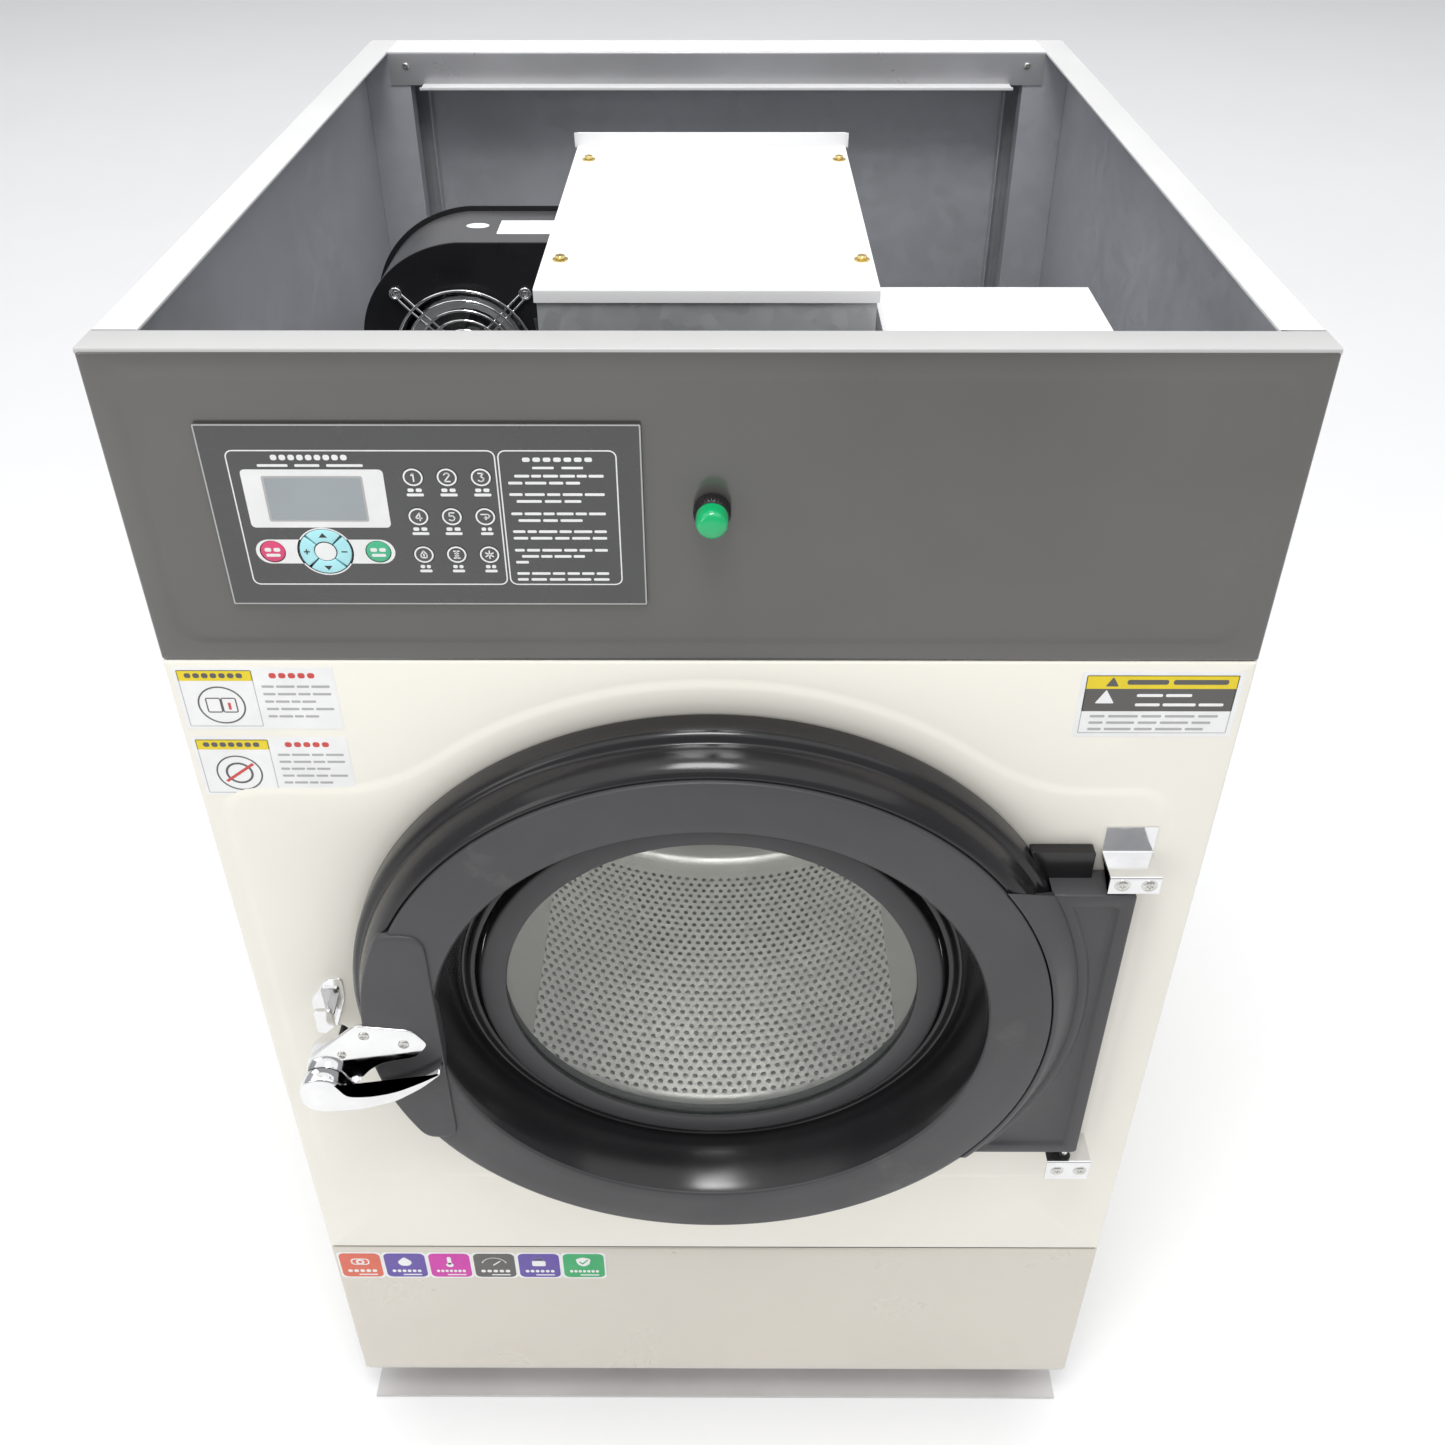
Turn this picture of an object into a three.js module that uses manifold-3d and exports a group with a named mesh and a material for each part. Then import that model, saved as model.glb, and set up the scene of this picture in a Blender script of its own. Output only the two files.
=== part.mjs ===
// A commercial tumble dryer, in millimetres, +Z up, front towards -Y.
// The origin is on the floor, in the middle of the machine's outline.
import * as THREE from "three";
import { mergeVertices } from "three/addons/utils/BufferGeometryUtils.js";
import Module from "manifold-3d";

const wasm = await Module();
wasm.setup();

// ---- driving dimensions ----

// cabinet
const WIDTH = 900;
const DEPTH = 960;
const HEIGHT = 1500;
const BASE_HEIGHT = 75;
const LOWER_SEAM_Z = 353;
const UPPER_SEAM_Z = 1222;
const SEAM = 3;
const SHEET = 2;
const RETURN = 33;
const RAIL = 34;
const GAP = 0.25;
const FRONT = -DEPTH / 2;
const BACK = DEPTH / 2;
const SIDE = WIDTH / 2;

// drum and its axis, which the door shares
const AXIS_Z = 825;
const DRUM_R = 365;
const DRUM_FRONT = FRONT + 38;
const DRUM_BACK = 45;
const DRUM_KNUCKLE = 20;
const DRUM_MOUTH_R = 252;
const DRUM_WALL = 2.5;
const SHELL_R = 395;
const SHELL_BACK = 135;
const PANEL_HOLE_R = 252;

// drive
const SHAFT_R = 22;
const PULLEY_Y = 300;
const PULLEY_R = 200;
const MOTOR_PULLEY_R = 38;
const GROOVE_DEPTH = 8;
const MOTOR_X = 280;
const MOTOR_Z = 190;
const MOTOR_R = 74;

// heater box and intake blower on top
const HEATER = { x0: -146, x1: 140, y0: -294, y1: 113, top: 1468 };
const BLOWER_X = -239;
const BLOWER_Z = 1346;
const BLOWER_Y0 = -150;
const BLOWER_Y1 = -56;
const BLOWER_INLET_R = 62;

// exhaust fan at the bottom, its axis along X
const FAN_X0 = -272.5;
const FAN_X1 = -112.5;
const FAN_Y = 20;
const FAN_Z = 265;
const FAN_R = 125;
const SPIGOT_R = 75;
const SPIGOT_Z = 220;
const FAN_DUCT_HEIGHT = 160;
const SPIGOT_END = BACK + 80;
const CHUTE = { x0: -112, x1: 150, y0: -120, y1: 125, z0: 150 };

// door
const DOOR_RIM_R = 344;
const DOOR_FACE_R = 319;
const DOOR_FACE_OUT = 61.5;
const BOWL_R = 262;
const WINDOW_R = 199.5;
const GLASS_R = 215;
const HINGE_X = 374;
const HINGE_OUT = 20;
const HINGE_PLATE = { x1: 382, z0: 600, z1: 986, out0: 3.5, out1: 36 };
const BRACKET = { x0: 354, x1: 400, upperZ: 1009, lowerZ: 583, out: 36 };

// latch
const LATCH_PIVOT_X = -376;
const LATCH_PIVOT_Z = 765;
const LATCH_OUT = 80;

// control overlay and its keys
const OVERLAY = { x0: -378, x1: -49, z0: 1280, z1: 1441, out: 1.6 };
const KEY_OUT = 2.2;
const KEY_STEPS = 6;
const KEY_ROW_Z = 1330;
const PAD_X = -297;
const PAD_R = 20;
const PAD_HUB_R = 9;
const ROUND_KEY_R = 9.5;
const PROGRAM_KEY_R = 7.5;
const PROGRAM_X = [-221, -195.5, -170];
const PROGRAM_Z = [1396.5, 1362, 1327.5];
const LAMP = { x: 3, z: 1368, r: 14.5 };

// ---- materials ----

function finish(colour, roughness, metalness) {
  return new THREE.MeshStandardMaterial({ color: colour, roughness, metalness });
}
const creamPaint = finish(0xf0eee8, 0.4, 0.1);
const charcoalPaint = finish(0x4a4845, 0.3, 0.1);
const galvanised = finish(0x9a9ca2, 0.45, 0.8);
const whitePaint = finish(0xf4f4f2, 0.5, 0.05);
const stainless = finish(0xc4c4c0, 0.3, 0.9);
const darkPlastic = finish(0x3e3d3d, 0.45, 0);
const blackPaint = finish(0x1c1c1e, 0.5, 0.2);
const rubber = finish(0x161616, 0.8, 0);
const chrome = finish(0xe6e6e6, 0.12, 1);
const glassClear = finish(0xb8c4c0, 0.05, 0);
const castIron = finish(0x3b3f46, 0.6, 0.7);
const motorPaint = finish(0x35506e, 0.5, 0.3);
const copper = finish(0x8a6a52, 0.4, 0.8);
const lampGreen = finish(0x00d878, 0.3, 0);

// ---- shape helpers ----

// A closed geometry as a solid that can be joined and cut.
function solid(geometry) {
  const bare = geometry.index ? geometry.toNonIndexed() : geometry;
  bare.deleteAttribute("normal");
  bare.deleteAttribute("uv");
  const merged = mergeVertices(bare, 1e-4);
  const kept = [];
  const index = merged.index.array;
  for (let i = 0; i < index.length; i += 3) {
    const [a, b, c] = index.slice(i, i + 3);
    if (a !== b && b !== c && c !== a) kept.push(a, b, c);
  }
  return new wasm.Manifold(
    new wasm.Mesh({
      numProp: 3,
      vertProperties: merged.attributes.position.array,
      triVerts: new Uint32Array(kept),
    }),
  );
}

function block(x0, x1, y0, y1, z0, z1) {
  const box = new THREE.BoxGeometry(x1 - x0, y1 - y0, z1 - z0);
  return solid(box.translate((x0 + x1) / 2, (y0 + y1) / 2, (z0 + z1) / 2));
}

function outline(points) {
  return new THREE.Shape(points.map(([u, v]) => new THREE.Vector2(u, v)));
}

function extruded(shape, depth, curveSegments = 16) {
  return new THREE.ExtrudeGeometry(shape, { depth, bevelEnabled: false, curveSegments });
}

// An outline in X and Z, from y0 back to y1.
function plateXZ(shape, y0, y1, curveSegments) {
  return solid(extruded(shape, y1 - y0, curveSegments).rotateX(Math.PI / 2).translate(0, y1, 0));
}

// An outline in X and Y, from z0 up to z1.
function plateXY(shape, z0, z1, curveSegments) {
  return solid(extruded(shape, z1 - z0, curveSegments).translate(0, 0, z0));
}

// An outline in Y and Z, from x0 across to x1.
function plateYZ(shape, x0, x1, curveSegments) {
  const turn = new THREE.Matrix4().makeBasis(
    new THREE.Vector3(0, 1, 0),
    new THREE.Vector3(0, 0, 1),
    new THREE.Vector3(1, 0, 0),
  );
  return solid(extruded(shape, x1 - x0, curveSegments).applyMatrix4(turn).translate(x0, 0, 0));
}

function disc(u, v, radius) {
  const shape = new THREE.Shape();
  shape.absarc(u, v, radius, 0, 2 * Math.PI, false);
  return shape;
}

// A closed profile of [radius, height] turned about the Y axis.
function turned(profile, segments) {
  const area = profile.reduce((sum, [r, h], i) => {
    const [r2, h2] = profile[(i + 1) % profile.length];
    return sum + r * h2 - r2 * h;
  }, 0);
  const ring = area < 0 ? [...profile].reverse() : [...profile];
  ring.push(ring[0]);
  return new THREE.LatheGeometry(
    ring.map(([r, h]) => new THREE.Vector2(r, h)),
    segments,
  );
}

// A profile of [radius, y] about an axis along Y through x, z.
function turnedY(profile, x, z, segments = 28) {
  return solid(turned(profile, segments).translate(x, 0, z));
}

// A profile of [radius, x] about an axis along X through y, z.
function turnedX(profile, y, z, segments = 24) {
  return solid(turned(profile, segments).rotateZ(-Math.PI / 2).translate(0, y, z));
}

// A profile of [radius, z] about a vertical axis through x, y.
function turnedZ(profile, x, y, segments = 24) {
  return solid(turned(profile, segments).rotateX(Math.PI / 2).translate(x, y, 0));
}

// A rectangle in radius and length, for rods, rings and tubes.
function band(r0, r1, h0, h1) {
  return [
    [r0, h0],
    [r1, h0],
    [r1, h1],
    [r0, h1],
  ];
}

function joined(parts) {
  return parts.reduce((whole, part) => whole.add(part));
}

function cut(whole, tools) {
  return tools.reduce((left, tool) => left.subtract(tool), whole);
}

// A wire that follows a smooth curve through the points.
function wire(points, radius, steps, sides) {
  const section = new THREE.Shape(
    Array.from({ length: sides }, (_, i) => {
      const turn = (2 * Math.PI * i) / sides;
      return new THREE.Vector2(radius * Math.cos(turn), radius * Math.sin(turn));
    }),
  );
  const extrudePath = new THREE.CatmullRomCurve3(points.map((p) => new THREE.Vector3(...p)));
  return solid(new THREE.ExtrudeGeometry(section, { steps, extrudePath }));
}

const dryer = new THREE.Group();

// Adds a solid to the machine as one named mesh.
function add(name, body, material, position = [0, 0, 0]) {
  const data = body.getMesh();
  const geometry = new THREE.BufferGeometry();
  const places = new Float32Array(data.numVert * 3);
  for (let i = 0; i < data.numVert; i++) {
    const from = i * data.numProp;
    places.set(data.vertProperties.subarray(from, from + 3), i * 3);
  }
  geometry.setAttribute("position", new THREE.BufferAttribute(places, 3));
  geometry.setIndex(new THREE.BufferAttribute(data.triVerts, 1));
  geometry.computeVertexNormals();
  const mesh = new THREE.Mesh(geometry, material);
  mesh.name = name;
  mesh.position.set(...position);
  dryer.add(mesh);
  return mesh;
}

// ---- base and cabinet ----

function baseFrame() {
  const reach = SIDE - 4;
  const web = reach - 42;
  const top = BASE_HEIGHT - GAP;
  const ring = (half, y0, y1, z0, z1, wall) =>
    cut(block(-half, half, y0, y1, z0, z1), [
      block(-half + wall, half - wall, y0 + wall, y1 - wall, z0 - 1, z1 + 1),
    ]);
  return joined([
    ring(reach, FRONT, BACK, 0, 4, 60),
    ring(web, FRONT + 42, BACK - 42, 3, top - 2, 4),
    ring(reach, FRONT + 2, BACK - 3, top - 3, top, 60),
    block(-web - 1, web + 1, 30, 110, top - 8, top),
    block(-web - 1, web + 1, 240, 330, top - 8, top),
  ]);
}
add("base_frame", baseFrame(), castIron);

// A front panel: a flat sheet with returns folded back along its edges, and holes in the sheet.
function tray(z0, z1, holes = []) {
  const back = FRONT + RETURN;
  const sheet = outline([
    [-SIDE, z0],
    [SIDE, z0],
    [SIDE, z1],
    [-SIDE, z1],
  ]);
  sheet.holes.push(...holes);
  return joined([
    plateXZ(sheet, FRONT, FRONT + SHEET, 24),
    block(-SIDE, -SIDE + SHEET, FRONT + SHEET / 2, back, z0, z1),
    block(SIDE - SHEET, SIDE, FRONT + SHEET / 2, back, z0, z1),
    block(-SIDE, SIDE, FRONT + SHEET / 2, back, z1 - SHEET, z1),
    block(-SIDE, SIDE, FRONT + SHEET / 2, back, z0, z0 + SHEET),
  ]);
}
const MODULE = { x0: -362, x1: -66, z0: 1294, z1: 1427 };
const moduleHole = outline([
  [MODULE.x0, MODULE.z0],
  [MODULE.x1, MODULE.z0],
  [MODULE.x1, MODULE.z1],
  [MODULE.x0, MODULE.z1],
]);
add(
  "control_panel",
  tray(UPPER_SEAM_Z + GAP, HEIGHT, [moduleHole, disc(LAMP.x, LAMP.z, 11.5)]),
  charcoalPaint,
);
add(
  "centre_panel",
  tray(LOWER_SEAM_Z + SEAM, UPPER_SEAM_Z, [disc(0, AXIS_Z, PANEL_HOLE_R)]),
  creamPaint,
);
add("lower_panel", tray(BASE_HEIGHT, LOWER_SEAM_Z), creamPaint);

function sidePanel(side) {
  const y0 = FRONT + RETURN + GAP;
  const sheetX = [side * SIDE, side * (SIDE - SHEET)].sort((a, b) => a - b);
  const railX = [side * SIDE, side * (SIDE - RAIL)].sort((a, b) => a - b);
  return joined([
    block(...sheetX, y0, BACK, BASE_HEIGHT, HEIGHT),
    block(...railX, y0, BACK, HEIGHT - SHEET, HEIGHT),
    block(...railX, y0, y0 + SHEET, BASE_HEIGHT, HEIGHT),
  ]);
}
add("side_panel_left", sidePanel(-1), creamPaint);
add("side_panel_right", sidePanel(1), creamPaint);

const REAR_BEAM_Y = BACK - 65;
const BEAM_DROP = 41;
add(
  "rear_panel",
  cut(block(-SIDE + SHEET + GAP, SIDE - SHEET - GAP, BACK - SHEET, BACK, BASE_HEIGHT, HEIGHT - SHEET - 1), [
    turnedY(
      band(0, SPIGOT_R + 2, BACK - SHEET - 1, BACK + 1),
      (FAN_X0 + FAN_X1) / 2,
      SPIGOT_Z,
      40,
    ),
  ]),
  creamPaint,
);
const beamReach = SIDE - RAIL - GAP;
const beamLow = HEIGHT - BEAM_DROP;
const beamWebBack = REAR_BEAM_Y + SHEET;
add(
  "rear_top_beam",
  joined([
    block(-beamReach, beamReach, REAR_BEAM_Y, BACK, HEIGHT - SHEET, HEIGHT),
    block(-beamReach, beamReach, REAR_BEAM_Y, beamWebBack, beamLow, HEIGHT),
    block(-beamReach + 40, beamReach - 40, REAR_BEAM_Y - 28, beamWebBack, beamLow, beamLow + SHEET),
  ]),
  whitePaint,
);

// A folded post stands in each rear corner, behind the rear beam, and a cross rail joins the two.
const POST_WIDTH = 56;
const CROSS_RAIL = { z0: 1118, z1: 1162 };
function rearPost(side) {
  const near = SIDE - SHEET - GAP;
  const front = REAR_BEAM_Y + SHEET + GAP;
  const fold = [
    [near, BACK - SHEET - GAP],
    [near, front],
    [near - POST_WIDTH, front],
    [near - POST_WIDTH, front + 24],
    [near - POST_WIDTH + SHEET, front + 24],
    [near - POST_WIDTH + SHEET, front + SHEET],
    [near - SHEET, front + SHEET],
    [near - SHEET, BACK - SHEET - GAP],
  ];
  const shape = outline(fold.map(([x, y]) => [side * x, y]));
  return plateXY(shape, BASE_HEIGHT + GAP, HEIGHT - SHEET - 1);
}
const railReach = SIDE - SHEET - GAP - POST_WIDTH + 1;
const railFront = REAR_BEAM_Y + SHEET + GAP;
add(
  "rear_frame",
  joined([
    rearPost(-1),
    rearPost(1),
    block(-railReach, railReach, railFront, railFront + SHEET, CROSS_RAIL.z0, CROSS_RAIL.z1),
    block(-railReach, railReach, railFront, railFront + 16, CROSS_RAIL.z0, CROSS_RAIL.z0 + SHEET),
  ]),
  galvanised,
);

// ---- drum shell, with the lint chute under it ----

const shellHoleR = 62;
function drumShell() {
  const front = FRONT + SHEET + GAP;
  const wall = [
    [PANEL_HOLE_R + 6, front],
    [SHELL_R, front],
    [SHELL_R, SHELL_BACK],
    [shellHoleR, SHELL_BACK],
    [shellHoleR, SHELL_BACK - SHEET],
    [SHELL_R - SHEET, SHELL_BACK - SHEET],
    [SHELL_R - SHEET, front + SHEET],
    [PANEL_HOLE_R + 6, front + SHEET],
  ];
  const shell = turnedY(wall, 0, AXIS_Z, 48);
  const heaterMouth = block(-115, 110, -260, 90, AXIS_Z + 200, AXIS_Z + SHELL_R + 5);
  return cut(shell, [heaterMouth, chuteInside()]);
}
const CHUTE_TOP = AXIS_Z - 330;
function chuteInside() {
  const { x0, x1, y0, y1, z0 } = CHUTE;
  return block(x0 + SHEET, x1 - SHEET, y0 + SHEET, y1 - SHEET, z0 + SHEET, CHUTE_TOP + 40);
}
function lintChute() {
  const { x0, x1, y0, y1, z0 } = CHUTE;
  const shellSpace = turnedY(band(0, SHELL_R + GAP, -300, SHELL_BACK), 0, AXIS_Z, 48);
  const fanMouth = turnedX(band(0, 82, x0 - 1, x0 + SHEET + 1), FAN_Y, FAN_Z, 32);
  return cut(block(x0, x1, y0, y1, z0, CHUTE_TOP), [chuteInside(), shellSpace, fanMouth]);
}
add("drum_shell", drumShell(), galvanised);
add("lint_chute", lintChute(), galvanised);

// The lint screen is a frame with crossed bars, flat across the chute.
function lintScreen() {
  const x0 = CHUTE.x0 + SHEET + GAP;
  const x1 = CHUTE.x1 - SHEET - GAP;
  const y0 = CHUTE.y0 + SHEET + GAP;
  const y1 = CHUTE.y1 - SHEET - GAP;
  const z0 = 370;
  const parts = [
    cut(block(x0, x1, y0, y1, z0, z0 + 14), [block(x0 + 14, x1 - 14, y0 + 14, y1 - 14, z0 - 1, z0 + 15)]),
  ];
  for (let i = 1; i <= 4; i++) {
    const x = x0 + ((x1 - x0) * i) / 5;
    const y = y0 + ((y1 - y0) * i) / 5;
    parts.push(block(x - 3, x + 3, y0 + 5, y1 - 5, z0 + 3, z0 + 7));
    parts.push(block(x0 + 6, x1 - 6, y - 3, y + 3, z0 + 5, z0 + 9));
  }
  return joined(parts);
}
add("lint_screen", lintScreen(), stainless);

// ---- drum ----

function drumBasket() {
  const inside = DRUM_R - DRUM_WALL;
  const floor = DRUM_BACK - DRUM_WALL;
  const profile = [
    [0, floor],
    [inside - DRUM_KNUCKLE, floor],
    [inside - 6, floor - 6],
    [inside, floor - DRUM_KNUCKLE],
    [inside, DRUM_FRONT + DRUM_WALL],
    [DRUM_MOUTH_R + DRUM_WALL, DRUM_FRONT + DRUM_WALL],
    [DRUM_MOUTH_R + DRUM_WALL, DRUM_FRONT + 14],
    [DRUM_MOUTH_R, DRUM_FRONT + 14],
    [DRUM_MOUTH_R, DRUM_FRONT],
    [DRUM_R, DRUM_FRONT],
    [DRUM_R, DRUM_BACK - DRUM_KNUCKLE],
    [DRUM_R - 6, DRUM_BACK - 6],
    [DRUM_R - DRUM_KNUCKLE, DRUM_BACK],
    [0, DRUM_BACK],
  ];
  return turnedY(profile, 0, AXIS_Z, 48);
}
add("drum_basket", drumBasket(), stainless);

// Three broad, low lifters stand on the drum's wall, a third of a turn apart.
const LIFTER_FOOT = DRUM_R - DRUM_WALL - 1.5;
const LIFTER_HALF_TURN = 0.405;
const LIFTER_RIDGE_R = 296;
const LIFTER_STEPS = 8;
for (let i = 0; i < 3; i++) {
  const foot = Array.from({ length: LIFTER_STEPS + 1 }, (_, k) => {
    const turn = LIFTER_HALF_TURN * ((2 * k) / LIFTER_STEPS - 1);
    return [LIFTER_FOOT * Math.sin(turn), -LIFTER_FOOT * Math.cos(turn)];
  });
  const ridge = [
    [14, -LIFTER_RIDGE_R - 5],
    [6, -LIFTER_RIDGE_R],
    [-6, -LIFTER_RIDGE_R],
    [-14, -LIFTER_RIDGE_R - 5],
  ];
  const section = outline([...foot, ...ridge]);
  const lifter = plateXZ(section, DRUM_FRONT + 30, DRUM_BACK - DRUM_KNUCKLE - 8);
  const mesh = add("drum_lifter_" + (i + 1), lifter, stainless, [0, 0, AXIS_Z]);
  mesh.rotation.y = ((2 * i + 1) * Math.PI) / 3;
}

// The shaft carries a three-armed spider that bolts to the back of the drum.
function drumShaft() {
  const y0 = DRUM_BACK + GAP;
  const arms = [0, 1, 2].map((i) => {
    const arm = extruded(
      outline([
        [-34, 0],
        [34, 0],
        [22, DRUM_R - 14],
        [-22, DRUM_R - 14],
      ]),
      18,
    );
    arm.rotateX(Math.PI / 2).rotateY(((2 * i + 1) * Math.PI) / 3).translate(0, y0 + 18, AXIS_Z);
    return solid(arm);
  });
  return joined([
    ...arms,
    turnedY(band(0, 70, y0, y0 + 26), 0, AXIS_Z, 32),
    turnedY(band(0, SHAFT_R, y0, PULLEY_Y + 40), 0, AXIS_Z, 32),
  ]);
}
add("drum_shaft", drumShaft(), castIron);

function bearingHousing() {
  const y0 = SHELL_BACK + 15;
  const y1 = SHELL_BACK + 105;
  const reach = SIDE - SHEET - GAP;
  const beam = joined([
    block(-reach, reach, y0 + 40, y0 + 43, AXIS_Z - 70, AXIS_Z + 70),
    block(-reach, reach, y0, y0 + 43, AXIS_Z + 67, AXIS_Z + 70),
    block(-reach, reach, y0, y0 + 43, AXIS_Z - 70, AXIS_Z - 67),
    turnedY(band(0, 58, y0, y1), 0, AXIS_Z),
    turnedY(band(0, 74, y0 + 34, y0 + 52), 0, AXIS_Z),
  ]);
  return cut(beam, [turnedY(band(0, SHAFT_R + 0.5, y0 - 1, y1 + 1), 0, AXIS_Z)]);
}
add("bearing_housing", bearingHousing(), castIron);

// A pulley with a trapezoidal groove for the belt.
function pulleyProfile(bore, radius, y) {
  const floor = radius - GROOVE_DEPTH;
  return [
    [bore, y - 12],
    [radius, y - 12],
    [radius, y - 9],
    [floor, y - 7.5],
    [floor, y + 7.5],
    [radius, y + 9],
    [radius, y + 12],
    [bore, y + 12],
  ];
}
function drumPulley() {
  const wheel = turnedY(pulleyProfile(SHAFT_R + GAP, PULLEY_R, PULLEY_Y), 0, AXIS_Z, 40);
  const holes = Array.from({ length: 5 }, (_, i) => {
    const turn = (2 * Math.PI * i) / 5;
    const x = 112 * Math.cos(turn);
    const z = AXIS_Z + 112 * Math.sin(turn);
    return turnedY(band(0, 48, PULLEY_Y - 14, PULLEY_Y + 14), x, z, 12);
  });
  return cut(wheel, holes);
}
add("drum_pulley", drumPulley(), castIron);

function motorPulley() {
  const y = PULLEY_Y;
  const stub = turnedY(band(0, 12, 268, y + 14), MOTOR_X, MOTOR_Z, 20);
  return turnedY(pulleyProfile(0, MOTOR_PULLEY_R, y), MOTOR_X, MOTOR_Z, 20).add(stub);
}
add("motor_pulley", motorPulley(), castIron);

// The belt's outline runs round both pulleys, with straight runs between.
function beltLoop(offset) {
  const big = PULLEY_R - GROOVE_DEPTH + offset;
  const small = MOTOR_PULLEY_R - GROOVE_DEPTH + offset;
  const span = Math.hypot(MOTOR_X, MOTOR_Z - AXIS_Z);
  const heading = Math.atan2(MOTOR_Z - AXIS_Z, MOTOR_X);
  const lean = Math.acos((big - small) / span);
  const shape = new THREE.Shape();
  shape.absarc(0, AXIS_Z, big, heading + lean, heading - lean + 2 * Math.PI, false);
  shape.absarc(MOTOR_X, MOTOR_Z, small, heading - lean, heading + lean, false);
  shape.closePath();
  return shape;
}
add(
  "drive_belt",
  cut(plateXZ(beltLoop(7.5), PULLEY_Y - 6.5, PULLEY_Y + 6.5, 12), [
    plateXZ(beltLoop(0.6), PULLEY_Y - 8, PULLEY_Y + 8, 12),
  ]),
  rubber,
);

function driveMotor() {
  const foot = BASE_HEIGHT + GAP;
  const can = turnedY(
    [
      [0, 70],
      [MOTOR_R - 22, 70],
      [MOTOR_R, 84],
      [MOTOR_R, 250],
      [MOTOR_R - 18, 266],
      [0, 266],
    ],
    MOTOR_X,
    MOTOR_Z,
    28,
  );
  const feet = block(MOTOR_X - 78, MOTOR_X + 78, 96, 244, foot, foot + 12);
  const saddle = block(MOTOR_X - 52, MOTOR_X + 52, 106, 234, foot, MOTOR_Z - 20);
  const terminals = block(MOTOR_X - 40, MOTOR_X + 40, 120, 200, MOTOR_Z + 40, MOTOR_Z + 104);
  return joined([can, feet, saddle, terminals]);
}
add("drive_motor", driveMotor(), motorPaint);

// ---- heater box and intake blower ----

// The scroll's radius shrinks steadily as it winds down the left side.
function scroll(inset) {
  const shape = new THREE.Shape();
  const top = 111 - inset;
  shape.moveTo(HEATER.x0 - GAP - BLOWER_X, top);
  for (let turn = 90; turn <= 360; turn += 15) {
    const r = top - 0.14 * (turn - 90);
    const a = (turn * Math.PI) / 180;
    shape.lineTo(r * Math.cos(a), r * Math.sin(a));
  }
  shape.lineTo(66, 36 + inset);
  shape.lineTo(HEATER.x0 - GAP - BLOWER_X, 36 + inset);
  shape.closePath();
  return shape;
}
function blowerHousing() {
  const wall = 2.5;
  const within = [BLOWER_Y0 + wall, BLOWER_Y1 - wall];
  const outside = plateXZ(scroll(0), BLOWER_Y0, BLOWER_Y1);
  const inside = plateXZ(scroll(wall), ...within);
  const mouth = block(60, HEATER.x0 - BLOWER_X + 5, ...within, 36 + wall, 111 - wall);
  const inlet = turnedY(band(0, BLOWER_INLET_R, BLOWER_Y0 - 1, BLOWER_Y0 + 5), 0, 0, 32);
  const shaftHole = turnedY(band(0, 12, BLOWER_Y1 - 5, BLOWER_Y1 + 1), 0, 0, 20);
  const rearLip = plateXZ(scroll(-5), BLOWER_Y1 - 4, BLOWER_Y1 - 1);
  const whole = outside.add(rearLip.intersect(block(-200, 90, -400, 400, -200, 200)));
  return cut(whole, [inside, mouth, inlet, shaftHole]);
}
add("blower_housing", blowerHousing(), blackPaint, [BLOWER_X, 0, BLOWER_Z]);

// A wheel of straight blades between a back disc and a front ring.
function bladeWheel(radius, width, blades, hub, reach) {
  const parts = [
    turnedY(band(0, radius, width - 3, width), 0, 0, 24),
    turnedY(band(radius * 0.78, radius, 0, 3), 0, 0, 24),
    turnedY(band(0, hub, width * 0.4, reach), 0, 0, 16),
  ];
  for (let i = 0; i < blades; i++) {
    const blade = new THREE.BoxGeometry(radius * 0.2, width - 2, 2);
    blade.translate(radius * 0.88, width / 2, 0).rotateY((i * 2 * Math.PI) / blades);
    parts.push(solid(blade));
  }
  return joined(parts);
}
add("blower_impeller", bladeWheel(56, 78, 10, 11, 92), galvanised, [BLOWER_X, BLOWER_Y0 + 7, BLOWER_Z]);

const HEATER_PORT = { z0: BLOWER_Z + 40, z1: BLOWER_Z + 107 };

// The guard's rings lie on four wire arms whose eyelets take the screws.
function fingerGuard() {
  const thick = 1.6;
  const plane = BLOWER_Y0 - 6;
  const ringProfile = (r) => {
    const sides = [0, 1, 2, 3].map((i) => (i * Math.PI) / 2);
    return sides.map((a) => [r + thick * Math.cos(a), plane + thick * Math.sin(a)]);
  };
  const rings = [22, 43, 64].map((r) => turnedY(ringProfile(r), 0, 0, 16));
  const arms = [45, 135, 225, 315].flatMap((deg) => {
    const a = (deg * Math.PI) / 180;
    const c = Math.cos(a);
    const s = Math.sin(a);
    const foot = [82 * c, BLOWER_Y0 - 2.2, 82 * s];
    const run = [20, 70].map((r) => [r * c, plane, r * s]);
    const arm = wire([...run, foot], thick, 4, 4);
    const eyelet = turnedY(band(3, 6.5, BLOWER_Y0 - 3.4, BLOWER_Y0 - GAP), 87 * c, 87 * s, 8);
    return [arm, eyelet];
  });
  return joined([...rings, ...arms]);
}
add("finger_guard", fingerGuard(), chrome, [BLOWER_X, 0, BLOWER_Z]);

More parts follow.
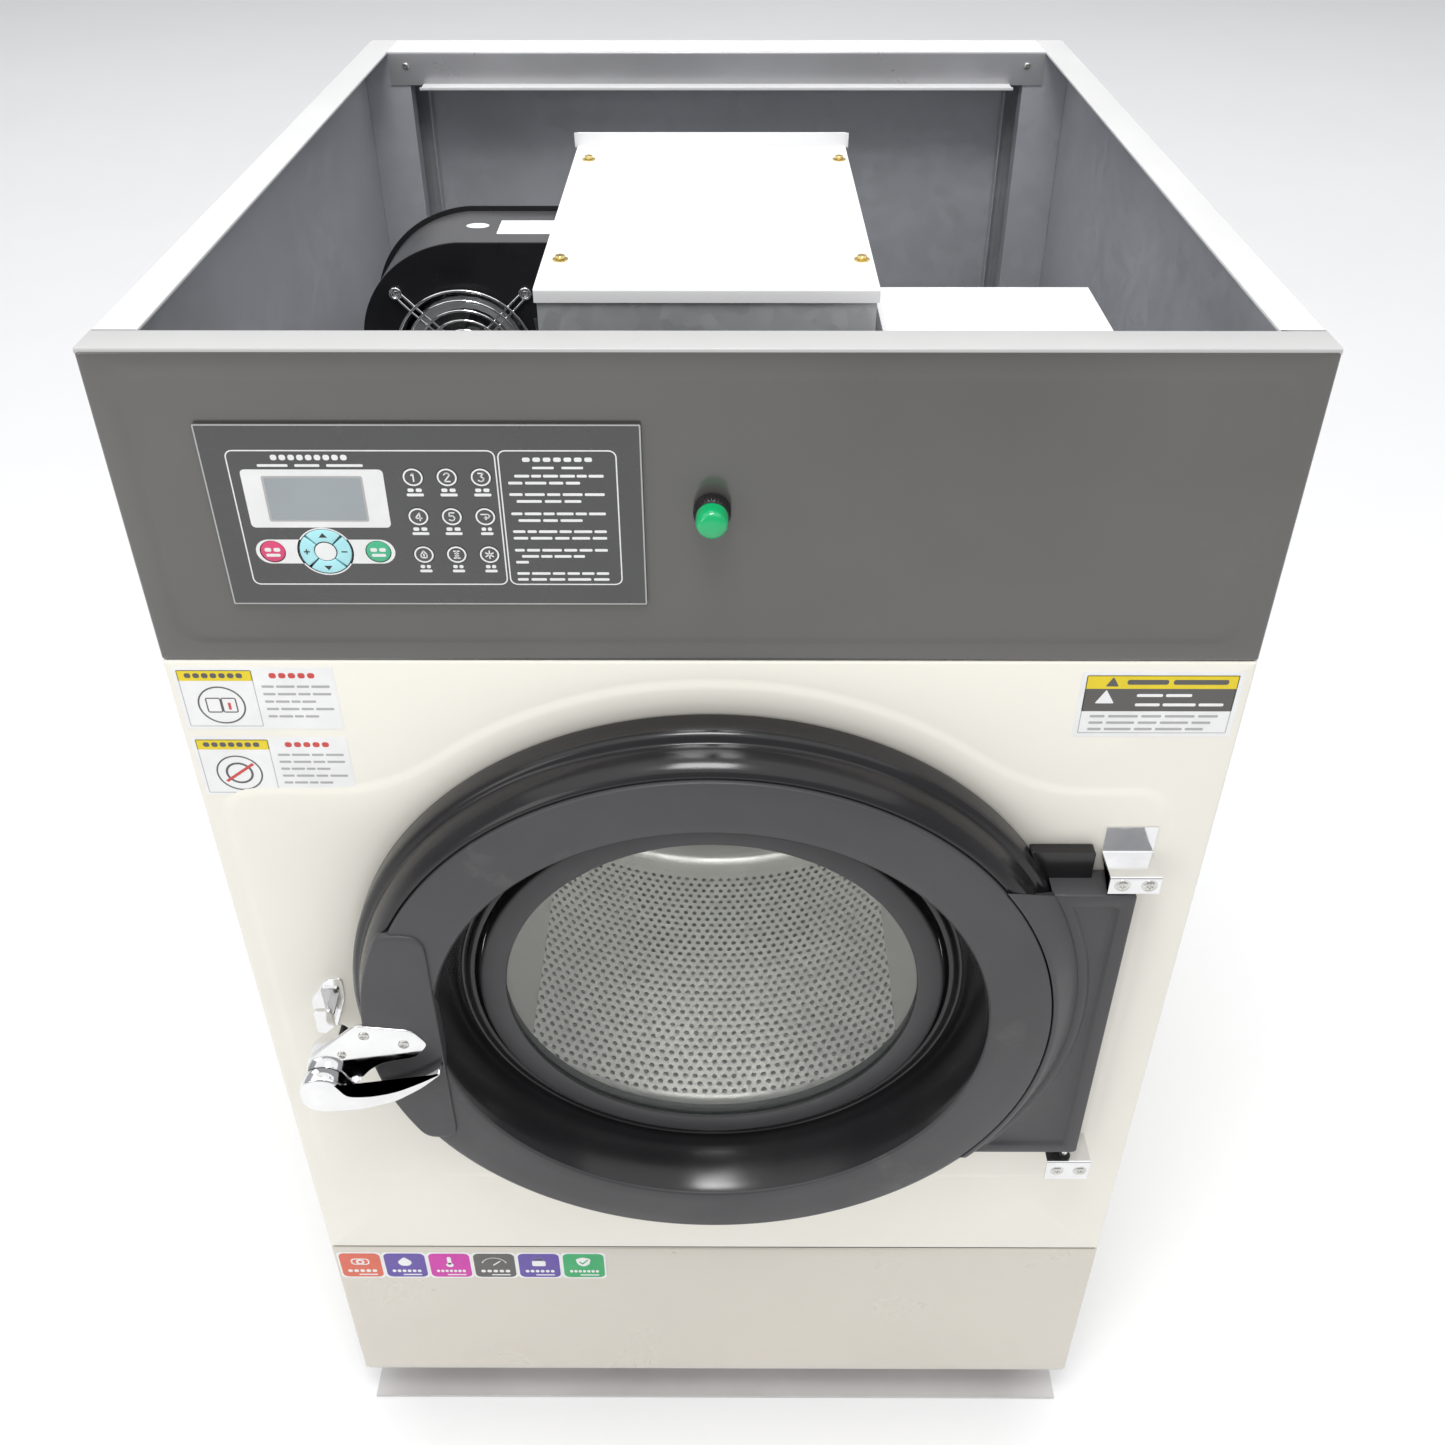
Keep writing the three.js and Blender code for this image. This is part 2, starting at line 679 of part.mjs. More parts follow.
function heaterBox() {
  const { x0, x1, y0, y1, top } = HEATER;
  const low = AXIS_Z + 340;
  const walls = cut(block(x0, x1, y0, y1, low, top), [
    block(x0 + SHEET, x1 - SHEET, y0 + SHEET, y1 - SHEET, low - 1, top + 1),
    turnedY(band(0, SHELL_R + GAP, y0 - 10, y1 + 10), 0, AXIS_Z, 48),
    block(x0 - 1, x0 + SHEET + 1, BLOWER_Y0 + 3, BLOWER_Y1 - 3, HEATER_PORT.z0, HEATER_PORT.z1),
  ]);
  return walls;
}
add("heater_box", heaterBox(), galvanised);

const LID_LIP = 12;
const LID_UPSTAND = 14;
function heaterLid() {
  const { x0, x1, y0, y1, top } = HEATER;
  const z0 = top + GAP;
  const z1 = z0 + SHEET;
  const out = SHEET + GAP;
  return joined([
    block(x0 - out, x1 + out, y0 - out, y1, z0, z1),
    block(x0 - out, x1 + out, y0 - out, y0 - GAP, z1 - LID_LIP, z1),
    block(x1 + GAP, x1 + out, y0 - out, y1, z1 - LID_LIP, z1),
    block(x0 - out - 3, x1 + out + 3, y1 - SHEET, y1, z0, z1 + LID_UPSTAND),
  ]);
}
add("heater_lid", heaterLid(), whitePaint);

// Heating tube: straight runs along Y joined by U bends, with two ends out at the back.
function heaterCoil() {
  const runs = 5;
  const pitch = 46;
  const bars = [];
  for (let i = 0; i < runs; i++) {
    const x = (i - (runs - 1) / 2) * pitch - 3;
    bars.push(turnedY(band(0, 7, HEATER.y0 + 40, HEATER.y1 - 40), x, 1320, 10));
    if (i > 0) {
      const y = i % 2 ? HEATER.y1 - 47 : HEATER.y0 + 47;
      bars.push(turnedX(band(0, 7, x - pitch, x), y, 1320, 10));
    }
  }
  const ends = [-1, 1].map((side) => {
    const x = (side * pitch * (runs - 1)) / 2 - 3;
    return turnedZ(band(0, 7, 1230, 1320), x, HEATER.y0 + 47, 10);
  });
  return joined([...bars, ...ends]);
}
add("heater_coil", heaterCoil(), copper);

function electricalBox() {
  const x0 = HEATER.x1 + 10;
  const x1 = 351;
  const y0 = FRONT + RETURN + 8;
  const y1 = -166;
  const z0 = UPPER_SEAM_Z + 10;
  const z1 = 1420;
  const shell = cut(block(x0, x1, y0, y1, z0, z1), [
    block(x0 + SHEET, x1 - SHEET, y0 + SHEET, y1 - SHEET, z0 + SHEET, z1 - SHEET),
    turnedY(band(0, 12, y1 - 5, y1 + 1), x1 - 50, z0 + 40, 20),
  ]);
  return shell;
}
add("electrical_box", electricalBox(), whitePaint);

// ---- exhaust fan ----

// The duct leaves the fan's lowest point and runs level to the back.
function fanOutline(inset) {
  const r = FAN_R - inset;
  const low = FAN_Z - r;
  const roof = FAN_Z - FAN_R + FAN_DUCT_HEIGHT - inset;
  const end = BACK - SHEET - 10 - inset;
  const meet = Math.asin((roof - FAN_Z) / r);
  const shape = new THREE.Shape();
  shape.moveTo(end, low);
  shape.lineTo(end, roof);
  shape.absarc(FAN_Y, FAN_Z, r, meet, 1.5 * Math.PI, false);
  shape.closePath();
  return shape;
}
function exhaustHousing() {
  const outside = plateYZ(fanOutline(0), FAN_X0, FAN_X1);
  const inside = plateYZ(fanOutline(3), FAN_X0 + 3, FAN_X1 - 3);
  const x = (FAN_X0 + FAN_X1) / 2;
  const spigot = turnedY(band(0, SPIGOT_R, BACK - SHEET - 14, SPIGOT_END), x, SPIGOT_Z, 32);
  const bore = turnedY(band(0, SPIGOT_R - 3, BACK - SHEET - 40, SPIGOT_END + 1), x, SPIGOT_Z, 32);
  const inlet = turnedX(band(0, 80, FAN_X1 - 5, FAN_X1 + 1), FAN_Y, FAN_Z);
  const shaftHole = turnedX(band(0, 14, FAN_X0 - 1, FAN_X0 + 5), FAN_Y, FAN_Z, 20);
  return cut(outside.add(spigot), [inside, bore, inlet, shaftHole]);
}
add("exhaust_housing", exhaustHousing(), galvanised);

function exhaustImpeller() {
  const wheel = new THREE.Matrix4().makeRotationZ(Math.PI / 2);
  const body = bladeWheel(96, 84, 10, 13, 154).getMesh();
  const geometry = new THREE.BufferGeometry();
  geometry.setAttribute("position", new THREE.BufferAttribute(body.vertProperties, body.numProp));
  geometry.setIndex(new THREE.BufferAttribute(body.triVerts, 1));
  return solid(geometry.applyMatrix4(wheel).translate(FAN_X1 - 12, FAN_Y, FAN_Z));
}
add("exhaust_impeller", exhaustImpeller(), galvanised);

function exhaustMotor() {
  const near = FAN_X0 - GAP;
  const can = turnedX(
    [
      [0, near - 140],
      [46, near - 140],
      [60, near - 128],
      [60, near],
      [15, near],
      [15, near - 14],
      [0, near - 14],
    ],
    FAN_Y,
    FAN_Z,
    28,
  );
  const foot = block(near - 120, near - 30, FAN_Y - 30, FAN_Y + 30, BASE_HEIGHT + GAP, FAN_Z - 30);
  return can.add(foot);
}
add("exhaust_motor", exhaustMotor(), motorPaint);

// ---- control overlay, keys and pilot lamp ----

// Keys: a name, a place and an outline about that place.
const keys = [
  { name: "key_stop", x: -338, z: KEY_ROW_Z, shape: disc(0, 0, ROUND_KEY_R) },
  { name: "key_start", x: -256, z: KEY_ROW_Z, shape: disc(0, 0, ROUND_KEY_R) },
];
["right", "up", "left", "down"].forEach((way, i) => {
  const middle = (i * Math.PI) / 2;
  const half = Math.PI / 4 - 0.06;
  const shape = new THREE.Shape();
  shape.absarc(0, 0, PAD_R, middle - half, middle + half, false);
  shape.absarc(0, 0, PAD_HUB_R, middle + half - 0.05, middle - half + 0.05, true);
  shape.closePath();
  keys.push({ name: "key_" + way, x: PAD_X, z: KEY_ROW_Z, shape });
});
PROGRAM_Z.forEach((z, row) => {
  PROGRAM_X.forEach((x, column) => {
    const shape = disc(0, 0, PROGRAM_KEY_R);
    keys.push({ name: "key_program_" + (3 * row + column + 1), x, z, shape });
  });
});

const overlayFace = FRONT - GAP - OVERLAY.out;
function controlOverlay() {
  const { x0, x1, z0, z1 } = OVERLAY;
  const plate = block(x0, x1, overlayFace, FRONT - GAP, z0, z1);
  const moduleX = [MODULE.x0 + 1, MODULE.x1 - 1];
  const moduleZ = [MODULE.z0 + 1, MODULE.z1 - 1];
  const back = block(...moduleX, FRONT - GAP - 0.1, FRONT + 22, ...moduleZ);
  const wells = keys.map(({ x, z, shape }) => {
    const points = shape.getPoints(KEY_STEPS);
    const middle = points.reduce((sum, p) => sum.add(p), new THREE.Vector2());
    middle.divideScalar(points.length);
    const clearance = points.map((p) => {
      const out = p.clone().sub(middle);
      return [x + p.x + (0.5 * out.x) / out.length(), z + p.y + (0.5 * out.y) / out.length()];
    });
    return plateXZ(outline(clearance), overlayFace - 1, FRONT + 3);
  });
  return cut(plate.add(back), wells);
}
add("control_overlay", controlOverlay(), darkPlastic);
for (const { name, x, z, shape } of keys) {
  add(name, plateXZ(shape, FRONT - KEY_OUT, FRONT + 1.8, KEY_STEPS), whitePaint, [x, 0, z]);
}

function lampBody() {
  const back = FRONT + 30;
  const profile = [
    [0, FRONT - 12],
    [LAMP.r - 2.5, FRONT - 12],
    [LAMP.r, FRONT - 9],
    [LAMP.r, FRONT - GAP],
    [11, FRONT - GAP],
    [11, back],
    [0, back],
  ];
  return turnedY(profile, LAMP.x, LAMP.z, 32);
}
add("lamp_body", lampBody(), blackPaint);
add(
  "lamp_lens",
  turnedY(
    [
      [0, FRONT - 28],
      [10.5, FRONT - 28],
      [12.5, FRONT - 26],
      [12.5, FRONT - 12 - GAP],
      [0, FRONT - 12 - GAP],
    ],
    LAMP.x,
    LAMP.z,
    32,
  ),
  lampGreen,
);

// ---- door ----

// Distances in these profiles are how far the door stands out from the cabinet's front.
function outFrom(profile) {
  return profile.map(([r, out]) => [r, FRONT - out]);
}
function doorTurned(profile, segments = 40) {
  return turnedY(outFrom(profile), 0, AXIS_Z, segments);
}
add(
  "door_ring",
  doorTurned([
    [DOOR_RIM_R, 3],
    [DOOR_RIM_R, 28],
    [DOOR_RIM_R - 9, 38],
    [DOOR_FACE_R, DOOR_FACE_OUT],
    [BOWL_R, DOOR_FACE_OUT - 0.5],
    [249, 38],
    [243, 0],
    [226, 0],
    [226, -7],
    [245.5, -7],
    [249, 3],
    [252, 3],
    [254, 36],
    [265, 56],
    [316, 56],
    [330, 34],
    [339, 26],
    [339, 3],
  ]),
  darkPlastic,
);
add("door_glass", doorTurned(band(0, GLASS_R, 3, 9)), glassClear);
add(
  "glass_seal",
  doorTurned([
    [WINDOW_R, 12],
    [WINDOW_R, 9.3],
    [GLASS_R + GAP, 9.3],
    [GLASS_R + GAP, 2.7],
    [WINDOW_R + 4, 2.7],
    [WINDOW_R + 4, -6],
    [225.6, -6],
    [225.6, 12],
  ]),
  rubber,
);
add("door_gasket", doorTurned(band(258, 334, 0.4, 2.7)), rubber);

function hingePlate() {
  const { x1, z0, z1, out0, out1 } = HINGE_PLATE;
  const clear = DOOR_RIM_R + 1.5;
  const edge = (z) => Math.sqrt(clear ** 2 - (z - AXIS_Z) ** 2);
  const shape = new THREE.Shape();
  shape.moveTo(edge(z0), z0);
  shape.lineTo(x1, z0);
  shape.lineTo(x1, z1);
  shape.lineTo(edge(z1), z1);
  const from = Math.atan2(z1 - AXIS_Z, edge(z1));
  const to = Math.atan2(z0 - AXIS_Z, edge(z0));
  shape.absarc(0, AXIS_Z, clear, from, to, true);
  const plate = plateXZ(shape, FRONT - out1, FRONT - out0, 16);
  const y = FRONT - HINGE_OUT;
  const bushUp = turnedZ(band(0, 9, z1 - 5, z1 + 6), HINGE_X, y, 16);
  const bushDown = turnedZ(band(0, 9, z0 - 6, z0 + 5), HINGE_X, y, 16);
  const bore = turnedZ(band(0, 5.4, z0 - 10, z1 + 10), HINGE_X, y, 16);
  return cut(joined([plate, bushUp, bushDown]), [bore]);
}
add("hinge_plate", hingePlate(), darkPlastic);

// Each bracket is a folded strip: a flange on the cabinet, a leaf, a turned-down front
// and a pin that runs into the door's hinge plate.
function hingeBracket(leafZ, flangeUp, frontDrop, pinEnd) {
  const { x0, x1, out } = BRACKET;
  const y = FRONT - HINGE_OUT;
  const flangeZ = flangeUp ? [leafZ - 3, leafZ + 30] : [leafZ - 30, leafZ];
  const pin = [Math.min(leafZ, pinEnd), Math.max(leafZ, pinEnd)];
  return joined([
    block(x0, x1, FRONT - 3 - GAP, FRONT - GAP, ...flangeZ),
    block(x0, x1, FRONT - out, FRONT - GAP, leafZ - 3, leafZ),
    block(x0, x1, FRONT - out, FRONT - out + 3, leafZ - frontDrop, leafZ),
    turnedZ(band(0, 5, ...pin), HINGE_X, y, 16),
  ]);
}
add("hinge_bracket_upper", hingeBracket(BRACKET.upperZ, true, 20, HINGE_PLATE.z1 - 30), chrome);
add("hinge_bracket_lower", hingeBracket(BRACKET.lowerZ, false, 30, HINGE_PLATE.z0 + 30), chrome);

// ---- latch ----

function latchStrike() {
  const face = FRONT - GAP;
  const foot = outline([
    [-399, 752],
    [-383, 742],
    [-362, 806],
    [-361, 834],
    [-378, 832],
    [-398, 802],
  ]);
  return joined([
    plateXZ(foot, face - 3, face),
    block(-386, -376, face - 16, face - 2, 775, 785),
    block(-392, -372, face - 19, face - 15, 770, 805),
  ]);
}
add("latch_strike", latchStrike(), chrome);

function latchBody() {
  const face = FRONT - DOOR_FACE_OUT - GAP;
  const plate = outline([
    [-394, 752],
    [-368, 742],
    [-344, 752],
    [-327, 777],
    [-313, 787],
    [-281, 795],
    [-267, 814],
    [-281, 836],
    [-334, 843],
    [-356, 822],
    [-388, 790],
  ]);
  const neck = outline([
    [-394, 752],
    [-368, 742],
    [-350, 752],
    [-347, 812],
    [-356, 820],
    [-388, 790],
  ]);
  const boss = turnedY(band(0, 11, FRONT - 47, FRONT - 40), LATCH_PIVOT_X, LATCH_PIVOT_Z, 24);
  return joined([plateXZ(plate, face - 4, face), plateXZ(neck, FRONT - 62, FRONT - 44), boss]);
}
add("latch_body", latchBody(), chrome);

// The lever turns on the boss and sweeps right in front of the latch body.
function latchLever() {
  const y0 = FRONT - LATCH_OUT;
  const grip = new THREE.Shape();
  grip.moveTo(-396, 766);
  grip.quadraticCurveTo(-398, 730, -372, 730);
  grip.quadraticCurveTo(-306, 728, -255, 787);
  grip.lineTo(-256, 795);
  grip.quadraticCurveTo(-304, 757, -352, 757);
  grip.quadraticCurveTo(-352, 780, -372, 782);
  grip.quadraticCurveTo(-390, 784, -396, 766);
  const plate = plateXZ(grip, y0, FRONT - DOOR_FACE_OUT - 4 - 2 * GAP, 10);
  return plate;
}
add("latch_lever", latchLever(), chrome);

export default dryer;
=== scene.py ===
import math

import bmesh
import bpy
from mathutils import Matrix, Vector


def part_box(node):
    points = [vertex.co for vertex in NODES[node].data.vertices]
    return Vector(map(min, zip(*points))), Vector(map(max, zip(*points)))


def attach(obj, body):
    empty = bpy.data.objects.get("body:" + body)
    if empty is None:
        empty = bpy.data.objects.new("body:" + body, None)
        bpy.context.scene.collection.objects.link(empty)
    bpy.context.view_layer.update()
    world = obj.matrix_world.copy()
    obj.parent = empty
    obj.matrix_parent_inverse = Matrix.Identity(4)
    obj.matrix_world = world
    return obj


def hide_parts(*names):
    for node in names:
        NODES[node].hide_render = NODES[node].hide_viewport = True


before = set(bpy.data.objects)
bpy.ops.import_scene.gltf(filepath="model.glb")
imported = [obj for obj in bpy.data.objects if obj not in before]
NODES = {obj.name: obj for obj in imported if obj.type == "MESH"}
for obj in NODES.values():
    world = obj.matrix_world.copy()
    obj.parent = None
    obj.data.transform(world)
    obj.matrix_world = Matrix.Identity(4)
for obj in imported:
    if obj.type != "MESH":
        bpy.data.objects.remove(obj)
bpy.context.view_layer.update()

MM = 0.001


def edges_of(node):
    """Lowest and highest corners of a CAD node, in millimetres."""
    low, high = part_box(node)
    return low / MM, high / MM


FRONT = edges_of("centre_panel")[0].y
SIDE = edges_of("side_panel_right")[1].x
BACK = edges_of("rear_panel")[1].y
HEIGHT = edges_of("control_panel")[1].z
AXIS_Z = sum(c.z for c in edges_of("door_gasket")) / 2

# ---------------------------------------------------------------- outlines


def arc(u, v, radius, start, end, steps):
    """Points on an arc, in degrees."""
    turns = [math.radians(start + (end - start) * i / steps) for i in range(steps + 1)]
    return [(u + radius * math.cos(t), v + radius * math.sin(t)) for t in turns]


def circle(u, v, radius, steps=32):
    return arc(u, v, radius, 0, 360, steps)[:-1]


def rounded_rect(u0, u1, v0, v1, r, steps=5):
    return (
        arc(u1 - r, v1 - r, r, 0, 90, steps)
        + arc(u0 + r, v1 - r, r, 90, 180, steps)
        + arc(u0 + r, v0 + r, r, 180, 270, steps)
        + arc(u1 - r, v0 + r, r, 270, 360, steps)
    )


def rounded(points, radius, steps=5, closed=True):
    """The polygon with each corner turned into a smooth curve."""
    out = []
    n = len(points)
    for i, here in enumerate(points):
        if not closed and i in (0, n - 1):
            out.append(here)
            continue
        p = Vector(here)
        a = Vector(points[i - 1])
        b = Vector(points[(i + 1) % n])
        reach = min(radius, (a - p).length / 2.05, (b - p).length / 2.05)
        start = p + (a - p).normalized() * reach
        end = p + (b - p).normalized() * reach
        for k in range(steps + 1):
            t = k / steps
            q = start * (1 - t) ** 2 + p * (2 * t * (1 - t)) + end * t**2
            out.append((q.x, q.y))
    return out


def folded(path, thickness, radius=3.5):
    """Closed outline of a sheet bent along an open path; the thickness lies left of the path."""
    outer = [Vector(p) for p in rounded(path, radius, 4, closed=False)]
    inner = []
    for i, p in enumerate(outer):
        ahead = outer[min(i + 1, len(outer) - 1)]
        behind = outer[max(i - 1, 0)]
        along = (ahead - behind).normalized()
        inner.append(p + Vector((-along.y, along.x)) * thickness)
    return [tuple(p) for p in outer] + [tuple(p) for p in reversed(inner)]


# ---------------------------------------------------------------- mesh making

PLANES = {
    "XZ": lambda u, v, w: (u, w, v),
    "XY": lambda u, v, w: (u, v, w),
    "YZ": lambda u, v, w: (w, u, v),
}


def loft(bm, rows, loop=False, start_cap=False, end_cap=False):
    """Joins rows of points that have equal counts; each row is a closed ring."""
    rings = [[bm.verts.new(p) for p in row] for row in rows]
    n = len(rings[0])
    pairs = list(zip(rings, rings[1:]))
    if loop:
        pairs.append((rings[-1], rings[0]))
    for a, b in pairs:
        for i in range(n):
            j = (i + 1) % n
            bm.faces.new((a[i], a[j], b[j], b[i]))
    if start_cap:
        bm.faces.new(rings[0])
    if end_cap:
        bm.faces.new(rings[-1])


def prism(bm, outline, w0, w1, plane="XZ", holes=()):
    """An outline, with holes if there are any, made solid from w0 to w1."""
    place = PLANES[plane]
    layers = []
    for w in (w0, w1):
        loops = [[bm.verts.new(place(u, v, w)) for u, v in loop] for loop in (outline, *holes)]
        layers.append(loops)
        if holes:
            rim = [
                bm.edges.new((a, b))
                for loop in loops
                for a, b in zip(loop, loop[1:] + loop[:1])
            ]
            bmesh.ops.triangle_fill(bm, edges=rim, use_beauty=True)
        else:
            bm.faces.new(loops[0])
    for near, far in zip(*layers):
        for i in range(len(near)):
            j = (i + 1) % len(near)
            bm.faces.new((near[i], near[j], far[j], far[i]))


def spun(bm, profile, centre, axis="Y", segments=96, loop=True, start=0.0, turn=360.0):
    """A profile of (radius, distance along the axis) turned about an axis through centre."""
    whole = abs(turn - 360) < 1e-6
    count = segments if whole else segments + 1
    rows = []
    for r, along in profile:
        row = []
        for i in range(count):
            a = math.radians(start + turn * i / segments)
            u = centre[0] + r * math.cos(a)
            v = centre[1] + r * math.sin(a)
            row.append({"Y": (u, along, v), "Z": (u, v, along), "X": (along, u, v)}[axis])
        rows.append(row)
    if whole:
        loft(bm, rows, loop=loop)
    else:
        rings = [[bm.verts.new(p) for p in row] for row in rows]
        for a, b in list(zip(rings, rings[1:])) + [(rings[-1], rings[0])]:
            for i in range(count - 1):
                bm.faces.new((a[i], a[i + 1], b[i + 1], b[i]))
        bm.faces.new([ring[0] for ring in rings])
        bm.faces.new([ring[-1] for ring in rings])
    bmesh.ops.remove_doubles(bm, verts=bm.verts, dist=0.002)


def sweep(bm, points, radius, sides=10, closed=False):
    """A round bar along a line of points."""
    pts = [Vector(p) for p in points]
    n = len(pts)
    side = None
    rows = []
    for i, p in enumerate(pts):
        ahead = pts[(i + 1) % n] if closed else pts[min(i + 1, n - 1)]
        behind = pts[i - 1] if closed else pts[max(i - 1, 0)]
        along = (ahead - behind).normalized()
        if side is None:
            side = along.orthogonal().normalized()
        side = (side - along * side.dot(along)).normalized()
        other = along.cross(side)
        turns = [2 * math.pi * k / sides for k in range(sides)]
        rows.append([p + (side * math.cos(t) + other * math.sin(t)) * radius for t in turns])
    loft(bm, rows, loop=closed, start_cap=not closed, end_cap=not closed)


def piece(name, bm, material, body="cabinet", slot=None, stands_for=(), bevel=0.0, angle=32, pick=None):
    """Turns a millimetre mesh into a piece that rides on a body."""
    bmesh.ops.recalc_face_normals(bm, faces=bm.faces)
    mesh = bpy.data.meshes.new(name)
    bm.to_mesh(mesh)
    bm.free()
    mesh.transform(Matrix.Scale(MM, 4))
    materials = material if isinstance(material, (list, tuple)) else [material]
    for mat in materials:
        mesh.materials.append(mat)
    if pick:
        for face in mesh.polygons:
            face.material_index = pick(face.center / MM, face.normal)
    mesh.shade_smooth()
    mesh.set_sharp_from_angle(angle=math.radians(angle))
    obj = bpy.data.objects.new(name, mesh)
    bpy.context.scene.collection.objects.link(obj)
    if bevel:
        mod = obj.modifiers.new("rounded_edges", "BEVEL")
        mod.width = bevel * MM
        mod.segments = 2
        mod.limit_method = "ANGLE"
        mod.angle_limit = math.radians(angle)
        mod.harden_normals = True
    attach(obj, body)
    if stands_for:
        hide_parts(*stands_for)
    return obj


def screw(bm, place, normal, radius, height, head="cross"):
    """A screw head on a surface: a dome with a cross recess, or a hexagon on a washer."""
    start = len(bm.verts)
    rows = []
    if head == "cross":
        count = 48
        turns = [2 * math.pi * (i + 0.5) / count for i in range(count)]
        for r, h in ((1, 0), (1, 0.35), (0.9, 0.7), (0.7, 0.92)):
            rows.append([(radius * r * math.cos(t), radius * r * math.sin(t), height * h) for t in turns])
        for h in (1.0, 0.35):
            row = []
            for t in turns:
                c, s = abs(math.cos(t)), abs(math.sin(t))
                r = radius * min(0.55 / max(c, s), 0.13 / max(min(c, s), 1e-6))
                row.append((r * math.cos(t), r * math.sin(t), height * h))
            rows.append(row)
    else:
        turns = [math.pi * (i + 0.5) / 12 for i in range(24)]
        for r, h in ((1.5, 0), (1.5, 0.2), (1.1, 0.25)):
            rows.append([(radius * r * math.cos(t), radius * r * math.sin(t), height * h) for t in turns])
        for r, h in ((0.9, 0.26), (0.9, 0.85), (0.78, 1.0)):
            row = []
            for t in turns:
                flat = math.cos(((t + math.pi / 6) % (math.pi / 3)) - math.pi / 6)
                row.append((radius * r * math.cos(t) / flat, radius * r * math.sin(t) / flat, height * h))
            rows.append(row)
    loft(bm, rows, start_cap=True, end_cap=True)
    bm.verts.ensure_lookup_table()
    turn = Vector((0, 0, 1)).rotation_difference(Vector(normal)).to_matrix().to_4x4()
    move = Matrix.Translation(Vector(place)) @ turn
    bmesh.ops.transform(bm, matrix=move, verts=bm.verts[start:])


# ---------------------------------------------------------------- materials


def add(mat, kind, inputs=None, **settings):
    """Adds a node; an input is a value or another node's output."""
    node = mat.node_tree.nodes.new(kind)
    for key, value in settings.items():
        setattr(node, key, value)
    for key, value in (inputs or {}).items():
        if isinstance(value, bpy.types.NodeSocket):
            mat.node_tree.links.new(value, node.inputs[key])
        else:
            node.inputs[key].default_value = value
    return node


def noise(mat, coords, scale, detail=3.0, rough=0.55, distortion=0.0):
    inputs = {
        "Vector": coords, "Scale": scale, "Detail": detail, "Roughness": rough, "Distortion": distortion
    }
    return add(mat, "ShaderNodeTexNoise", inputs).outputs["Fac"]


def spread(mat, value, low, high, out_low=0.0, out_high=1.0):
    inputs = {"Value": value, "From Min": low, "From Max": high, "To Min": out_low, "To Max": out_high}
    return add(mat, "ShaderNodeMapRange", inputs).outputs["Result"]


def blend_colours(mat, factor, a, b):
    node = add(mat, "ShaderNodeMix", data_type="RGBA")
    for index, value in ((0, factor), (6, a), (7, b)):
        if isinstance(value, bpy.types.NodeSocket):
            mat.node_tree.links.new(value, node.inputs[index])
        else:
            node.inputs[index].default_value = value if index == 0 else (*value[:3], 1)
    return node.outputs[2]


def tinted(colour, share):
    return tuple(min(1.0, c * share) for c in colour)


def surface(
    name, colour, roughness, metallic=0.0, mottle=(4.0, 0.05), smudge=(7.0, 0.06),
    grain=(600.0, 0.05), stretch=(1, 1, 1), grime=None, cells=None, lumps=None, **sockets
):
    """A finish with slow colour variation, handled patches, fine grain and optional grime or crystals."""
    mat = bpy.data.materials.new(name)
    mat.use_nodes = True
    shader = mat.node_tree.nodes["Principled BSDF"]
    shader.inputs["Metallic"].default_value = metallic
    for key, value in sockets.items():
        shader.inputs[key.replace("_", " ")].default_value = value
    link = mat.node_tree.links.new
    place = add(mat, "ShaderNodeTexCoord").outputs["Object"]
    stretched = add(mat, "ShaderNodeMapping", {"Vector": place, "Scale": stretch}).outputs["Vector"]
    slow = spread(mat, noise(mat, place, mottle[0], 4.0), 0.3, 0.7)
    tone = blend_colours(mat, slow, tinted(colour, 1 - mottle[1]), tinted(colour, 1 + mottle[1]))
    wiped = spread(mat, noise(mat, place, smudge[0], 5.0, 0.6, 0.8), 0.35, 0.7)
    shine = spread(mat, wiped, 0.0, 1.0, max(0.02, roughness - smudge[1]), roughness + smudge[1])
    fine = noise(mat, stretched, grain[0], 2.0)
    if cells:
        crystal = add(mat, "ShaderNodeTexVoronoi", {"Vector": place, "Scale": cells[0]})
        level = add(mat, "ShaderNodeSeparateColor", {"Color": crystal.outputs["Color"]}).outputs[0]
        tone = blend_colours(mat, spread(mat, level, 0, 1, 0, cells[1]), tone, tinted(colour, 1.6))
        shine = spread(mat, level, 0, 1, roughness - smudge[1], roughness + smudge[1])
    if grime:
        patch = spread(mat, noise(mat, place, grime[0], 6.0, 0.65), grime[1], grime[1] + 0.18)
        tone = blend_colours(mat, spread(mat, patch, 0, 1, 0, grime[2]), tone, grime[3])
    link(tone, shader.inputs["Base Color"])
    link(shine, shader.inputs["Roughness"])
    bump = add(mat, "ShaderNodeBump", {"Height": fine, "Strength": grain[1], "Distance": 0.0005})
    if lumps:
        wave = noise(mat, place, lumps[0], 2.0)
        wide = add(mat, "ShaderNodeBump", {"Height": wave, "Strength": lumps[1], "Distance": 0.004})
        link(wide.outputs["Normal"], bump.inputs["Normal"])
    link(bump.outputs["Normal"], shader.inputs["Normal"])
    return mat


